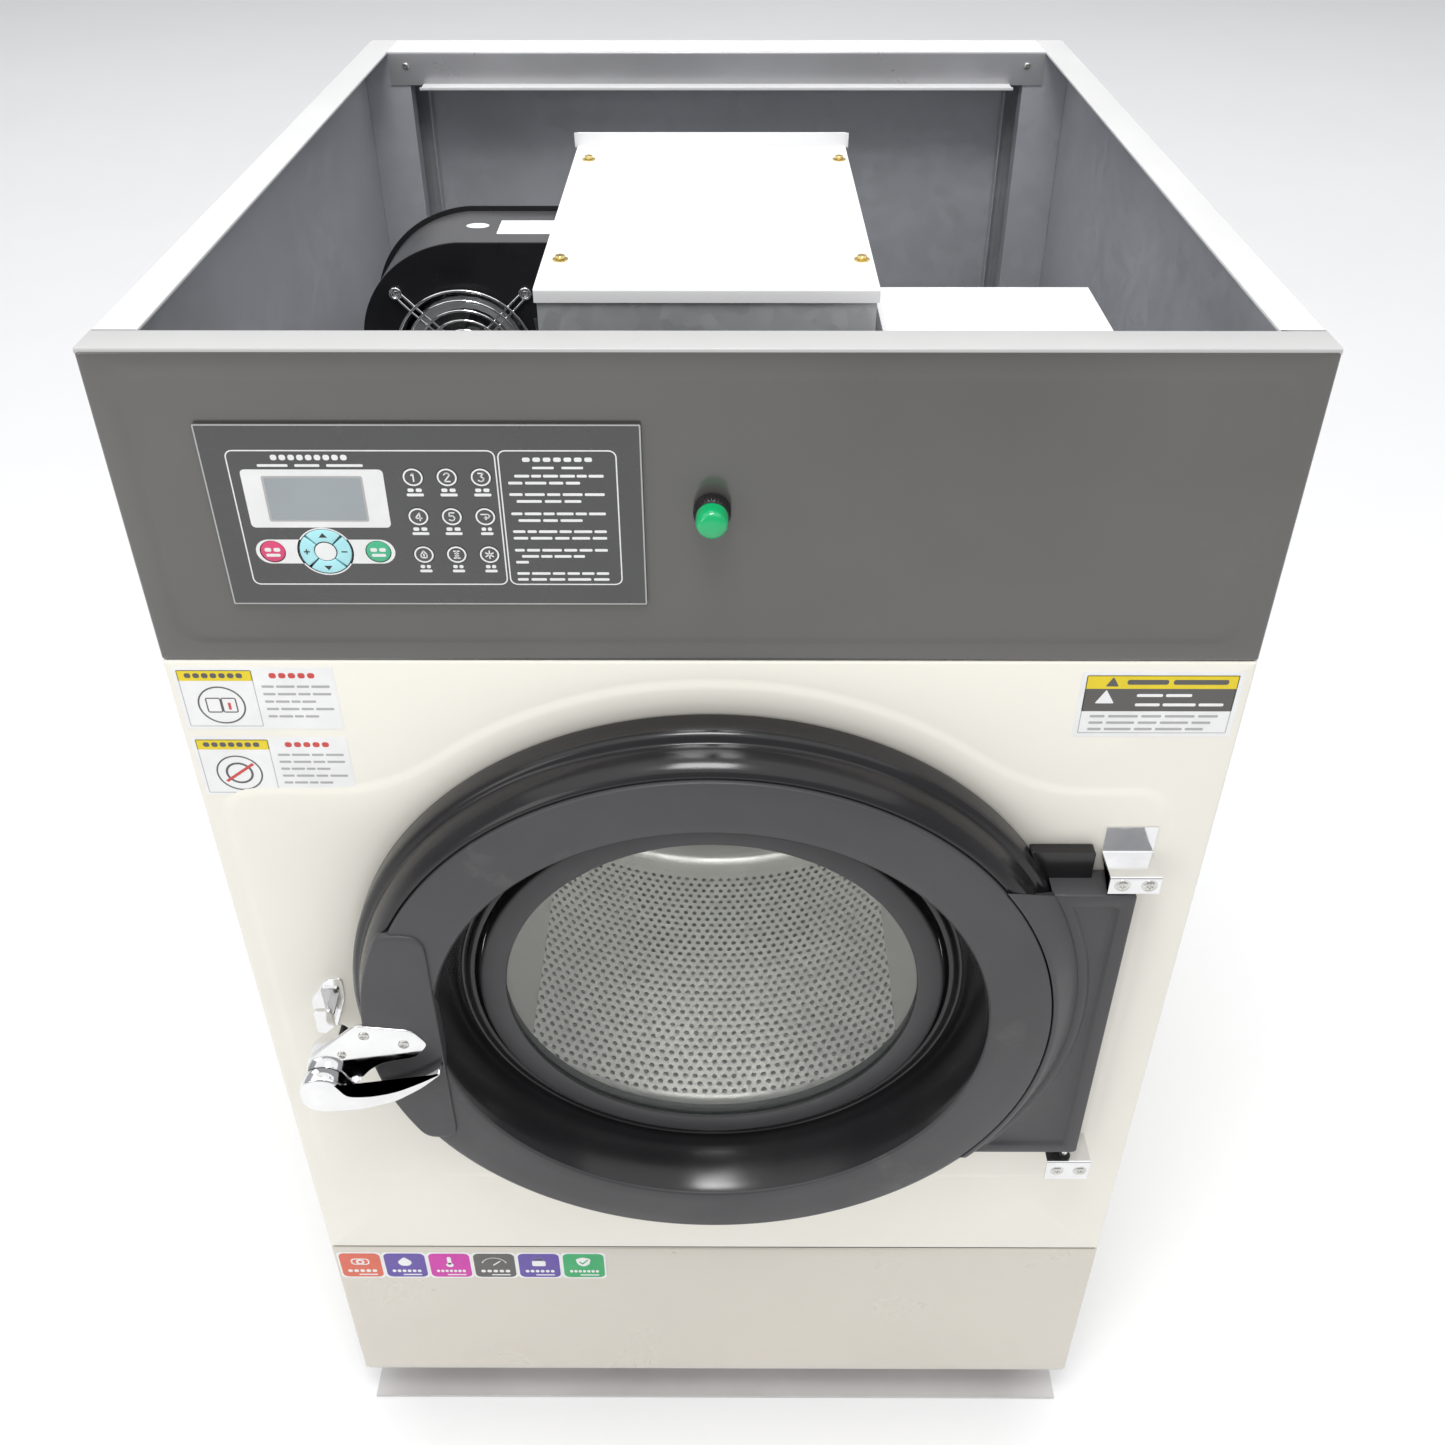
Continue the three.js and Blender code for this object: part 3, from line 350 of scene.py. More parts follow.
DUST = (0.62, 0.60, 0.55)
cream = surface(
    "cream_powder_coat", (0.87, 0.84, 0.75), 0.38, mottle=(2.2, 0.02), smudge=(5.0, 0.07),
    grain=(900.0, 0.12), grime=(4.0, 0.62, 0.06, (0.60, 0.57, 0.50)), lumps=(3.0, 0.03),
    Coat_Weight=0.15, Coat_Roughness=0.25,
)
# A darker copy of the cream paint for the lower panel. The darker tone is painted shade below the door, and
# the patches are dirt.
cream_painted_shade = surface(
    "cream_coat_painted_shade", (0.67, 0.625, 0.545), 0.34, mottle=(3.0, 0.03), smudge=(5.0, 0.08),
    grain=(900.0, 0.12), grime=(3.0, 0.60, 0.10, (0.55, 0.52, 0.47)), lumps=(3.0, 0.03), Coat_Weight=0.2,
)
charcoal = surface(
    "charcoal_gloss", (0.092, 0.089, 0.083), 0.17, mottle=(1.3, 0.28), smudge=(3.0, 0.08),
    grain=(1200.0, 0.04), grime=(5.0, 0.62, 0.03, DUST), lumps=(4.0, 0.06),
    Coat_Weight=0.6, Coat_Roughness=0.12,
)
# Grey finish for the control panel's top lip. The grey is far lighter than the charcoal panel below it, and
# it is a painted highlight standing for overhead light on the top edge. Its darker patches are dirt.
lip_painted_highlight = surface(
    "lip_grey_painted_highlight", (0.45, 0.45, 0.44), 0.35, mottle=(6.0, 0.04), smudge=(12.0, 0.07),
    grain=(800.0, 0.1), grime=(22.0, 0.62, 0.35, (0.35, 0.34, 0.33)),
)
white_paint = surface(
    "white_paint", (0.80, 0.80, 0.80), 0.36, mottle=(4.0, 0.02), smudge=(8.0, 0.07),
    grain=(800.0, 0.12), grime=(18.0, 0.67, 0.3, (0.55, 0.54, 0.52)),
)
zinc = surface(
    "galvanised_sheet", (0.50, 0.51, 0.54), 0.40, 0.40, mottle=(2.5, 0.14), smudge=(4.0, 0.08),
    grain=(500.0, 0.08), stretch=(1, 1, 0.15), cells=(55.0, 0.10), grime=(
        16.0, 0.68, 0.4, (0.55, 0.55, 0.55)
    ),
)
rail_paint = surface(
    "rail_paint", (0.66, 0.66, 0.65), 0.40, mottle=(3.0, 0.04), smudge=(8.0, 0.07),
    grain=(800.0, 0.12), grime=(14.0, 0.64, 0.12, (0.50, 0.49, 0.47)),
)
beam_zinc = surface(
    "beam_sheet", (0.40, 0.40, 0.41), 0.34, 0.5, mottle=(1.6, 0.3), smudge=(6.0, 0.08),
    grain=(500.0, 0.08), stretch=(0.1, 1, 1),
)
zinc_duct = surface(
    "galvanised_duct", (0.50, 0.51, 0.52), 0.40, 0.5, mottle=(7.0, 0.12), smudge=(10.0, 0.1),
    grain=(420.0, 0.08), cells=(80.0, 0.2),
)
stainless = surface(
    "stainless_drum", (0.56, 0.555, 0.535), 0.42, 0.4, mottle=(5.0, 0.06), smudge=(9.0, 0.08),
    grain=(260.0, 0.12), stretch=(0.3, 4, 0.3),
)
stainless_plain = surface(
    "stainless_brushed", (0.54, 0.535, 0.52), 0.36, 0.4, mottle=(5.0, 0.05), smudge=(9.0, 0.08),
    grain=(420.0, 0.15), stretch=(1, 0.05, 1),
)
chrome = surface(
    "polished_chrome", (0.80, 0.80, 0.80), 0.10, 1.0, mottle=(30.0, 0.06), smudge=(45.0, 0.06),
    grain=(300.0, 0.03), grime=(60.0, 0.66, 0.5, (0.42, 0.41, 0.40)), lumps=(35.0, 0.05),
)
zinc_screw = surface(
    "plated_screw", (0.62, 0.61, 0.58), 0.26, 1.0, mottle=(80.0, 0.1), smudge=(120.0, 0.08),
    grain=(900.0, 0.08),
)
brass = surface(
    "yellow_zinc_bolt", (0.72, 0.56, 0.22), 0.28, 1.0, mottle=(90.0, 0.15), smudge=(90.0, 0.1),
    grain=(700.0, 0.1),
)
door_plastic = surface(
    "door_grained_plastic", (0.062, 0.060, 0.063), 0.44, mottle=(4.0, 0.12), smudge=(6.0, 0.07),
    grain=(750.0, 0.22), grime=(9.0, 0.62, 0.10, DUST), Specular_IOR_Level=0.32,
)
gloss_plastic = surface(
    "door_gloss_plastic", (0.014, 0.013, 0.014), 0.19, mottle=(6.0, 0.2), smudge=(6.0, 0.06),
    grain=(900.0, 0.05), grime=(12.0, 0.66, 0.03, DUST), lumps=(7.0, 0.04), Specular_IOR_Level=0.42,
)
rubber = surface(
    "black_rubber", (0.018, 0.018, 0.018), 0.62, mottle=(8.0, 0.15), smudge=(20.0, 0.08), grain=(700.0,
        0.25),
)
black_coat = surface(
    "blower_black_coat", (0.012, 0.012, 0.014), 0.42, 0.2, mottle=(6.0, 0.2), smudge=(12.0, 0.1),
    grain=(500.0, 0.2), grime=(20.0, 0.64, 0.12, DUST),
)
scroll_coat = surface(
    "blower_band_coat", (0.13, 0.13, 0.135), 0.30, 0.5, mottle=(5.0, 0.15), smudge=(9.0, 0.1),
    grain=(500.0, 0.1),
)
frame_paint = surface(
    "base_frame_paint", (0.60, 0.585, 0.57), 0.38, 0.2, mottle=(5.0, 0.07), smudge=(9.0, 0.08),
    grain=(350.0, 0.2), grime=(8.0, 0.62, 0.3, (0.40, 0.38, 0.36)),
)
dark_iron = surface(
    "dark_cast_iron", (0.05, 0.055, 0.062), 0.55, 0.6, mottle=(12.0, 0.2), smudge=(14.0, 0.1),
    grain=(260.0, 0.5),
)
motor_blue = surface(
    "motor_enamel", (0.035, 0.10, 0.19), 0.36, 0.2, mottle=(9.0, 0.1), smudge=(12.0, 0.1),
    grain=(420.0, 0.2), grime=(15.0, 0.6, 0.3, DUST),
)
copper = surface(
    "heating_tube", (0.36, 0.20, 0.12), 0.38, 0.9, mottle=(25.0, 0.25), smudge=(20.0, 0.1), grain=(400.0,
        0.2),
)
overlay_film = surface(
    "overlay_film", (0.062, 0.062, 0.061), 0.30, mottle=(5.0, 0.08), smudge=(9.0, 0.08),
    grain=(1500.0, 0.12), grime=(16.0, 0.64, 0.08, DUST), Coat_Weight=0.25,
)
lcd_glass = surface(
    "display_window", (0.30, 0.33, 0.345), 0.16, mottle=(14.0, 0.05), smudge=(20.0, 0.05),
    grain=(1500.0, 0.03), Coat_Weight=0.5,
)
lens_green = surface(
    "lamp_green_lens", (0.0, 0.42, 0.14), 0.14, mottle=(60.0, 0.08), smudge=(50.0, 0.04), grain=(900.0,
        0.05),
    Subsurface_Weight=0.3, Subsurface_Radius=(0.002, 0.008, 0.004), Coat_Weight=0.5,
)


def ink(name, colour, roughness=0.42):
    return surface(
        name, colour, roughness, mottle=(25.0, 0.05), smudge=(40.0, 0.06), grain=(1200.0, 0.1)
    )


INKS = {
    "white": ink("ink_white", (0.80, 0.80, 0.79)),
    "pale": ink("ink_pale", (0.86, 0.86, 0.85)),
    "black": ink("ink_black", (0.03, 0.03, 0.03)),
    "dark": ink("ink_dark_grey", (0.10, 0.095, 0.09)),
    "grey": ink("ink_grey", (0.42, 0.42, 0.41)),
    "yellow": ink("ink_yellow", (0.80, 0.62, 0.01)),
    "red": ink("ink_red", (0.60, 0.06, 0.05)),
    "orange": ink("ink_orange", (0.72, 0.13, 0.07)),
    "purple": ink("ink_purple", (0.11, 0.06, 0.36)),
    "magenta": ink("ink_magenta", (0.62, 0.02, 0.38)),
    "green": ink("ink_green", (0.02, 0.40, 0.13)),
    "rose": ink("key_rose", (0.68, 0.06, 0.17)),
    "cyan": ink("key_cyan", (0.40, 0.76, 0.80)),
    "key_green": ink("key_green", (0.06, 0.46, 0.24)),
}


def clear_glass():
    """A pane: what is behind shows through, with a mirror coat that strengthens at a slant."""
    mat = bpy.data.materials.new("door_glass_clear")
    mat.use_nodes = True
    nodes = mat.node_tree.nodes
    shader = nodes["Principled BSDF"]
    shader.inputs["Base Color"].default_value = (0.10, 0.11, 0.11, 1)
    shader.inputs["Metallic"].default_value = 0.0
    place = add(mat, "ShaderNodeTexCoord").outputs["Object"]
    film = spread(mat, noise(mat, place, 9.0, 5.0, 0.6, 1.0), 0.3, 0.75, 0.03, 0.14)
    mat.node_tree.links.new(film, shader.inputs["Roughness"])
    clear = add(mat, "ShaderNodeBsdfTransparent", {"Color": (0.92, 0.925, 0.905, 1)})
    slant = add(mat, "ShaderNodeLayerWeight", {"Blend": 0.5}).outputs["Facing"]
    share = spread(mat, slant, 0.2, 1.0, 0.07, 0.9)
    mix = add(mat, "ShaderNodeMixShader", {0: share, 1: clear.outputs[0], 2: shader.outputs[0]})
    mat.node_tree.links.new(mix.outputs[0], nodes["Material Output"].inputs["Surface"])
    return mat


glass = clear_glass()

CARRIED = {
    "base_frame": frame_paint, "rear_frame": zinc, "drum_shell": zinc_duct, "lint_chute": zinc_duct,
    "lint_screen": stainless_plain, "drum_shaft": dark_iron, "bearing_housing": dark_iron,
    "drum_pulley": dark_iron, "motor_pulley": dark_iron, "drive_belt": rubber, "drive_motor": motor_blue,
    "blower_impeller": zinc_duct, "heater_box": zinc_duct, "heater_coil": copper,
    "exhaust_housing": zinc_duct, "exhaust_impeller": zinc_duct, "exhaust_motor": motor_blue,
    "door_gasket": rubber, "electrical_box": white_paint,
}
for node_name, node_material in CARRIED.items():
    data = NODES[node_name].data
    data.materials.clear()
    data.materials.append(node_material)

# ---------------------------------------------------------------- cabinet panels

PANEL_BACK = FRONT + 33
BEND = 3.0
BEND_STEPS = [(BEND * (1 - math.cos(a)), BEND * (1 - math.sin(a))) for a in (0.0, 0.5, 1.05, math.pi / 2)]


def tray_rows(x0, x1, z0, z1, relief):
    """Rings of a shallow tray: its return, the rounded bend, then relief rings of (inset, y, corner)."""
    rows = [rounded_rect(x0 + 0.4, x1 - 0.4, z0 + 0.4, z1 - 0.4, 1.2)]
    ys = [PANEL_BACK]
    rows.append(rounded_rect(x0, x1, z0, z1, 1.5))
    ys.append(PANEL_BACK - 1)
    for inset, drop in BEND_STEPS:
        rows.append(rounded_rect(x0 + inset, x1 - inset, z0 + inset, z1 - inset, 1.5 + inset * 0.5))
        ys.append(FRONT + drop)
    for inset, y, corner in relief:
        rows.append(rounded_rect(x0 + inset, x1 - inset, z0 + inset, z1 - inset, corner))
        ys.append(y)
    return [[(u, y, v) for u, v in row] for row, y in zip(rows, ys)]


panel_low = edges_of("control_panel")[0]
relief = [(17, FRONT, 22), (19, FRONT + 0.35, 22), (22, FRONT + 1.0, 23), (25, FRONT + 1.3, 24)]
bm = bmesh.new()
loft(
    bm,
    tray_rows(-SIDE, SIDE, panel_low.z, HEIGHT - 1.6, relief),
    start_cap=True,
    end_cap=True,
)
piece("control_panel_face", bm, charcoal, slot="charcoal_paint", stands_for=["control_panel"], angle=50)
# The control panel's top lip, in grey: a painted highlight on the charcoal top edge.
bm = bmesh.new()
lip = folded(
    [
        (FRONT + 0.6, HEIGHT - 4.2), (FRONT + 0.6, HEIGHT), (PANEL_BACK, HEIGHT),
        (PANEL_BACK, HEIGHT - 9)
    ],
    -1.5, 2.0
)
prism(bm, [(y, z) for y, z in lip], -SIDE + 0.3, SIDE - 0.3, "YZ")
piece("control_panel_lip", bm, lip_painted_highlight, slot="charcoal_paint")

# The lower panel, in the darker copy of the cream paint: painted shade.
bm = bmesh.new()
low_low, low_high = edges_of("lower_panel")
relief = [(18, FRONT, 14), (21, FRONT + 0.3, 14), (25, FRONT + 0.6, 15)]
loft(bm, tray_rows(-SIDE, SIDE, low_low.z, low_high.z, relief), start_cap=True, end_cap=True)
piece("lower_panel_face", bm, cream_painted_shade, slot="cream_paint", stands_for=["lower_panel"], angle=50)


def rounded_box_distance(x, z, x0, x1, z0, z1, r):
    dx = abs(x - (x0 + x1) / 2) - (x1 - x0) / 2 + r
    dz = abs(z - (z0 + z1) / 2) - (z1 - z0) / 2 + r
    return math.hypot(max(dx, 0), max(dz, 0)) + min(max(dx, dz), 0) - r


FIELD = (-430, 405, 502, 1079)
MOUTH_R = 252.0
FIELD_R = 374


def field_distance(x, z):
    """How far a point lies outside the pressed field: a rectangle merged with a disc round the door."""
    a = rounded_box_distance(x, z, *FIELD, 30)
    b = math.hypot(x, z - AXIS_Z) - FIELD_R
    merge = 45.0
    h = max(merge - abs(a - b), 0) / merge
    return min(a, b) - h * h * merge / 4


mid_low, mid_high = edges_of("centre_panel")


def panel_distance(x, z):
    return rounded_box_distance(x, z, -SIDE, SIDE, mid_low.z, mid_high.z, 1.5)


def ray_radius(distance, level, turn):
    """Where a ray from the door's axis crosses a level of a distance."""
    c, s = math.cos(turn), math.sin(turn)
    near, far = 200.0, 760.0
    for _ in range(26):
        middle = (near + far) / 2
        if distance(middle * c, AXIS_Z + middle * s) < level:
            near = middle
        else:
            far = middle
    return near


def centre_panel():
    corners = []
    for x in (-SIDE, SIDE):
        for z in (mid_low.z, mid_high.z):
            at = math.atan2(z - AXIS_Z, x) % (2 * math.pi)
            corners += [at + d for d in (-0.006, -0.003, -0.0012, 0.0, 0.0012, 0.003, 0.006)]
    turns = sorted(corners + [2 * math.pi * (i + 0.37) / 560 for i in range(560)])
    hole = MOUTH_R
    rows = []

    def ring(radii, y):
        rows.append([(r * math.cos(t), y, AXIS_Z + r * math.sin(t)) for r, t in zip(radii, turns)])

    for r, y in (
        (hole, FRONT + 12), (hole, FRONT + 2), (hole + 2, FRONT), (336, FRONT), (339, FRONT - 1.5)
    ):
        ring([r] * len(turns), y)
    for level, rise in ((-6, 1.5), (-3.6, 1.4), (-1.5, 1.0), (1.5, 0.5), (3.6, 0.1), (6, 0)):
        ring([ray_radius(field_distance, level, t) for t in turns], FRONT - rise)
    for inset, drop in reversed(BEND_STEPS):
        ring([ray_radius(panel_distance, -inset, t) for t in turns], FRONT + drop)
    edge = [ray_radius(panel_distance, 0, t) for t in turns]
    ring(edge, PANEL_BACK)
    ring([r - 1.5 for r in edge], PANEL_BACK)
    ring([r - 4 for r in edge], FRONT + 2)
    ring([hole + 3] * len(turns), FRONT + 3)
    ring([hole + 1.5] * len(turns), FRONT + 12)
    mesh = bmesh.new()
    loft(mesh, rows, loop=True)
    return piece(
        "centre_panel_face", mesh, cream, slot="cream_paint", stands_for=["centre_panel"], angle=50
    )


centre_panel()

for side, tag in ((-1, "left"), (1, "right")):
    low, high = edges_of("side_panel_" + tag)
    bm = bmesh.new()
    path = [
        (side * SIDE, low.z), (side * SIDE, HEIGHT), (side * (SIDE - 34), HEIGHT),
        (side * (SIDE - 34), HEIGHT - 2.6)
    ]
    prism(bm, folded(path, 2.0 * side, 1.6), low.y, high.y, "XZ")
    y0 = low.y
    prism(bm, [(side * (SIDE - 1.5), low.z), (side * (SIDE - 34), low.z), (side * (SIDE - 34),
        HEIGHT - 2.2),
               (side * (SIDE - 1.5), HEIGHT - 2.2)], y0, y0 + 2)

    def wall_side(centre, normal, side=side):
        if centre.z > HEIGHT - 3:
            return 1
        return 2 if normal.x * side < -0.5 or abs(centre.x) < SIDE - 2.5 else 0

    piece(
        "side_wall_" + tag, bm, [cream, rail_paint, zinc], slot="cream_paint",
        stands_for=["side_panel_" + tag], pick=wall_side,
    )

spigot_low, spigot_high = edges_of("exhaust_housing")
SPIGOT_X = (spigot_low.x + spigot_high.x) / 2
SPIGOT_Z = 220.0
bm = bmesh.new()
rear_low, rear_high = edges_of("rear_panel")
prism(
    bm, [
        (rear_low.x, rear_low.z), (rear_high.x, rear_low.z), (rear_high.x, rear_high.z),
        (rear_low.x, rear_high.z)
    ],
    rear_low.y, rear_high.y, "XZ", holes=[circle(SPIGOT_X, SPIGOT_Z, 77, 64)],
)
piece(
    "rear_wall", bm, [cream, zinc], slot="cream_paint", stands_for=["rear_panel"],
    pick=lambda centre, normal: 1 if normal.y < -0.5 else 0,
)

STRIP_X, STRIP_DEPTH = 378, 16
bm = bmesh.new()
for side in (-1, 1):
    wall = rear_low.y - 0.2
    strip = [(STRIP_X + 13, wall), (STRIP_X, wall), (STRIP_X, wall - STRIP_DEPTH),
             (STRIP_X + 2, wall - STRIP_DEPTH), (STRIP_X + 2, wall - 2), (STRIP_X + 13, wall - 2)]
    prism(bm, [(side * x, y) for x, y in strip], 80, HEIGHT - 42, "XY")
piece("rear_strips", bm, zinc, slot="galvanised", bevel=0.4)

beam_low, beam_high = edges_of("rear_top_beam")
bm = bmesh.new()
web = beam_low.y + 28
prism(
    bm, folded([(BACK, HEIGHT), (web, HEIGHT), (web, HEIGHT - 40.9)], 2.0, 3.0), beam_low.x,
    beam_high.x, "YZ"
)
lip = folded(
    [
        (web + 1, HEIGHT - 39), (web + 1, HEIGHT - 41), (beam_low.y, HEIGHT - 41),
        (beam_low.y, HEIGHT - 37)
    ],
    -1.8, 2.0
)
prism(bm, lip, beam_low.x + 42, beam_high.x - 42, "YZ")
piece(
    "rear_beam", bm, [white_paint, beam_zinc, white_paint], slot="white_paint",
    stands_for=["rear_top_beam"],
    pick=lambda centre, normal: 2 if centre.y < web - 1 else (1 if normal.y < -0.5 else 0),
)
bm = bmesh.new()
for x in (-394, 394):
    screw(bm, (x, web, HEIGHT - 17), (0, -1, 0), 4.2, 2.4)
for x in (-SIDE, SIDE):
    out = 1 if x > 0 else -1
    for y in (-420, -60, 240, 440):
        for z in (100, 1440):
            screw(bm, (x - out * 1.4, y, z), (out, 0, 0), 5, 1.3)
for x in (-430, -150, 150, 430):
    for z in (110, 700, 1460):
        screw(bm, (x, BACK - 1.4, z), (0, 1, 0), 5, 1.3)
piece("cabinet_screws", bm, zinc_screw, slot="chrome")

# Dark strips laid in the gaps between the panels, in the rubber finish: painted shade in the seams.
bm = bmesh.new()
for z0, z1, drop in (
    (low_high.z - 1.2, mid_low.z + 1.2, 2.2), (mid_high.z - 1.6, panel_low.z + 1.6, 1.9)
):
    prism(
        bm, [(-SIDE + 3, z0), (SIDE - 3, z0), (SIDE - 3, z1), (-SIDE + 3, z1)], FRONT + drop,
        FRONT + drop + 1.2
    )
piece("seam_painted_shade", bm, rubber, slot="rubber")

# ---------------------------------------------------------------- door



def OUT(distance):
    """A place in front of the centre panel."""
    return FRONT - distance



def door_part(name, profile, material, slot, segments=288, **options):
    mesh = bmesh.new()
    spun(mesh, [(r, OUT(o)) for r, o in profile], (0, AXIS_Z), "Y", segments)
    return piece(name, mesh, material, "door", slot, **options)


door_part(
    "door_rim",
    [
        (343.2, 3), (344, 5), (344, 21), (343.2, 25.4), (341.0, 28.2), (338.6, 29.4), (336.4, 30.0),
        (335.2, 31.6),
        (334.6, 36), (333.4, 42), (331.0, 48.5), (327.8, 53.8), (324.4, 57.0), (322.0, 58.0), (320.4, 57.6),
        (319.2, 55), (318.4, 49), (316, 34), (330, 26), (339, 20), (339, 3),
    ],
    gloss_plastic, "dark_plastic", stands_for=["door_ring"], angle=60,
)
door_part(
    "door_face",
    [
        (318.9, 48), (318.9, 59.6), (318.2, 61.0), (316.6, 61.4), (300, 61.5), (275, 61.3), (264.5,
            61.0), (262.2, 60.2),
        (260.8, 58.6), (262.5, 52), (280, 48),
    ],
    door_plastic, "dark_plastic", angle=60,
)
door_part(
    "door_bowl",
    [
        (262.4, 60.4), (260.6, 58.0), (257.6, 50), (254, 40), (250.5, 28), (247.6, 16), (245.6, 6),
        (245.0, 1.5),
        (244.2, 0.2), (242.4, 0), (239.8, 0.2), (239.0, 1.6), (238.6, 3.4), (237.4, 4.6), (235, 5.0),
        (231.8, 4.8), (230.2, 3.6), (229.6, 1.2), (228.6, 0.2), (226.2, 0), (226, -7), (245.5, -7),
        (249.4, 3), (252.4, 10), (255, 34), (262.5, 52),
    ],
    gloss_plastic, "black_plastic", angle=60,
)
door_part(
    "window_seal",
    [
        (199.5, 11.0), (200.0, 12), (202.5, 12.6), (212, 12.2), (222, 11.6), (224.8, 10.8), (225.6, 9),
        (225.6, -6),
        (203.5, -6), (203.5, 2.7), (215.25, 2.7), (215.25, 9.3), (199.6, 9.3),
    ],
    [rubber, door_plastic], "rubber", stands_for=["glass_seal"], angle=60,
    pick=lambda centre, normal: 1 if normal.y < -0.5 else 0,
)
door_part(
    "window_pane", [(0.0, 9), (214.2, 9), (215, 8.2), (215, 3.8), (214.2, 3), (0.0, 3)], glass, "glass",
    segments=128, stands_for=["door_glass"],
)

# hinge cover: a plate beside the face ring, with a raised lip and a pressed D-shaped field
plate_low, plate_high = edges_of("hinge_plate")
PLATE_TOP, PLATE_FOOT = plate_high.z - 6, plate_low.z + 6
PLATE_X = plate_high.x - 1


def hinge_outline(radius, inset, steps=40):
    """From the door's round edge across to a straight outer edge."""
    top, foot, right = PLATE_TOP - inset, PLATE_FOOT + inset, PLATE_X - inset
    a = math.asin((top - AXIS_Z) / radius)
    b = math.asin((foot - AXIS_Z) / radius)
    left = [(radius * math.cos(t), AXIS_Z + radius * math.sin(t))
            for t in (a + (b - a) * k / steps for k in range(steps + 1))]
    down = [(left[-1][0] + (right - left[-1][0]) * k / 6, foot) for k in range(1, 6)]
    up = [(left[0][0] + (right - left[0][0]) * k / 6, top) for k in range(5, 0, -1)]
    corner_a = arc(right - 4, foot + 4, 4, 270, 360, 4)
    corner_b = arc(right - 4, top - 4, 4, 0, 90, 4)
    return left + down + corner_a + corner_b + up


bm = bmesh.new()
rows = []
for radius, inset, out in (
    (346.5, 0.5, 3.6), (346.5, 0, 5), (346.0, 0, 33.5), (347, 0.8, 35.4), (348.2, 2.2, 36),
    (356, 13, 36), (356.8, 14, 35.4), (358.4, 15.8, 33.2), (359.6, 17.2, 32.8),
):
    rows.append([(x, OUT(out), z) for x, z in hinge_outline(radius, inset)])
loft(bm, rows, start_cap=True, end_cap=True)
piece("hinge_cover", bm, door_plastic, "door", "dark_plastic", stands_for=["hinge_plate"], angle=50)

# sloping web of the cover, from the flat plate up to the face ring; its ends climb towards the face
bm = bmesh.new()
web_profile = [(320.2, 61.0), (322.5, 61.3), (325.4, 60.4), (347.5, 36.2), (347.5, 30), (320.2, 46)]
WEB_STEPS = 72
rings = []
for k in range(WEB_STEPS + 1):
    ring = []
    for r, out in web_profile:
        rise = 1.2 * max(out - 36, 0)
        top = math.asin((PLATE_TOP + rise - AXIS_Z) / r)
        foot = math.asin((PLATE_FOOT + rise - AXIS_Z) / r)
        a = foot + (top - foot) * k / WEB_STEPS
        ring.append((r * math.cos(a), OUT(out), AXIS_Z + r * math.sin(a)))
    rings.append(ring)
loft(bm, rings, start_cap=True, end_cap=True)
piece("hinge_cover_web", bm, door_plastic, "door", "dark_plastic", bevel=0.8, angle=40)

# deeper block behind the cover that reaches up to the upper hinge
bm = bmesh.new()
block_top = PLATE_TOP + 34
BLOCK_END = 345  # keeps the block clear of the bracket as the door swings
block_points = [(math.sqrt(345**2 - (PLATE_TOP - 30 - AXIS_Z) ** 2), PLATE_TOP - 30)]
block_points += [
    (math.sqrt(345**2 - (block_top - 2 - AXIS_Z) ** 2), block_top - 2), (BLOCK_END, block_top - 2),
    (BLOCK_END, PLATE_TOP - 30)
]
prism(bm, rounded(block_points, 3), OUT(14), OUT(3.2), "XZ")
piece("hinge_back_block", bm, gloss_plastic, "door", "black_plastic", bevel=1.0)
bm = bmesh.new()
HINGE = (374.0, FRONT - 20)
for z0, z1 in ((PLATE_TOP - 2, plate_high.z), (plate_low.z, PLATE_FOOT + 2)):
    spun(bm, [(5.4, z0), (8.6, z0), (9, z0 + 0.6), (9, z1 - 0.6), (8.6, z1), (5.4, z1)], HINGE, "Z", 32)
piece("hinge_bushes", bm, rubber, "door", "rubber")

# brackets: polished folded strips with two screws on the turned-down front
for tag, flange_up in (("upper", True), ("lower", False)):
    low, high = edges_of("hinge_bracket_" + tag)
    leaf = 1009.0 if flange_up else 583.0
    drop = 20.0 if flange_up else 30.0
    flange_end = leaf + 29.5 if flange_up else leaf - 29.5
    wall = OUT(3.2 if flange_up else 0.6)
    path = [(wall, flange_end), (wall, leaf), (OUT(35.8), leaf), (OUT(35.8), leaf - drop)]
    bm = bmesh.new()
    prism(bm, folded(path, 2.8 if flange_up else 2.4, 2.5), low.x, high.x, "YZ")
    pin_end = PLATE_TOP - 24 if flange_up else PLATE_FOOT + 24
    spun(bm, [(0, leaf - 1), (5, leaf - 1), (5, pin_end), (0, pin_end)], HINGE, "Z", 32)
    piece(
        "hinge_strap_" + tag, bm, chrome, slot="chrome", stands_for=["hinge_bracket_" + tag], bevel=0.6
    )
    bm = bmesh.new()
    for x in (low.x + 12, high.x - 10):
        screw(bm, (x, OUT(35.7), leaf - drop / 2), (0, -1, 0), 5.4, 1.4)
        spun(
            bm, [(5.8, OUT(35.6)), (7.4, OUT(35.6)), (7.2, OUT(35.95)), (5.9, OUT(35.95))],
            (x, leaf - drop / 2), "Y", 32
        )
    piece("hinge_screws_" + tag, bm, zinc_screw, slot="chrome")

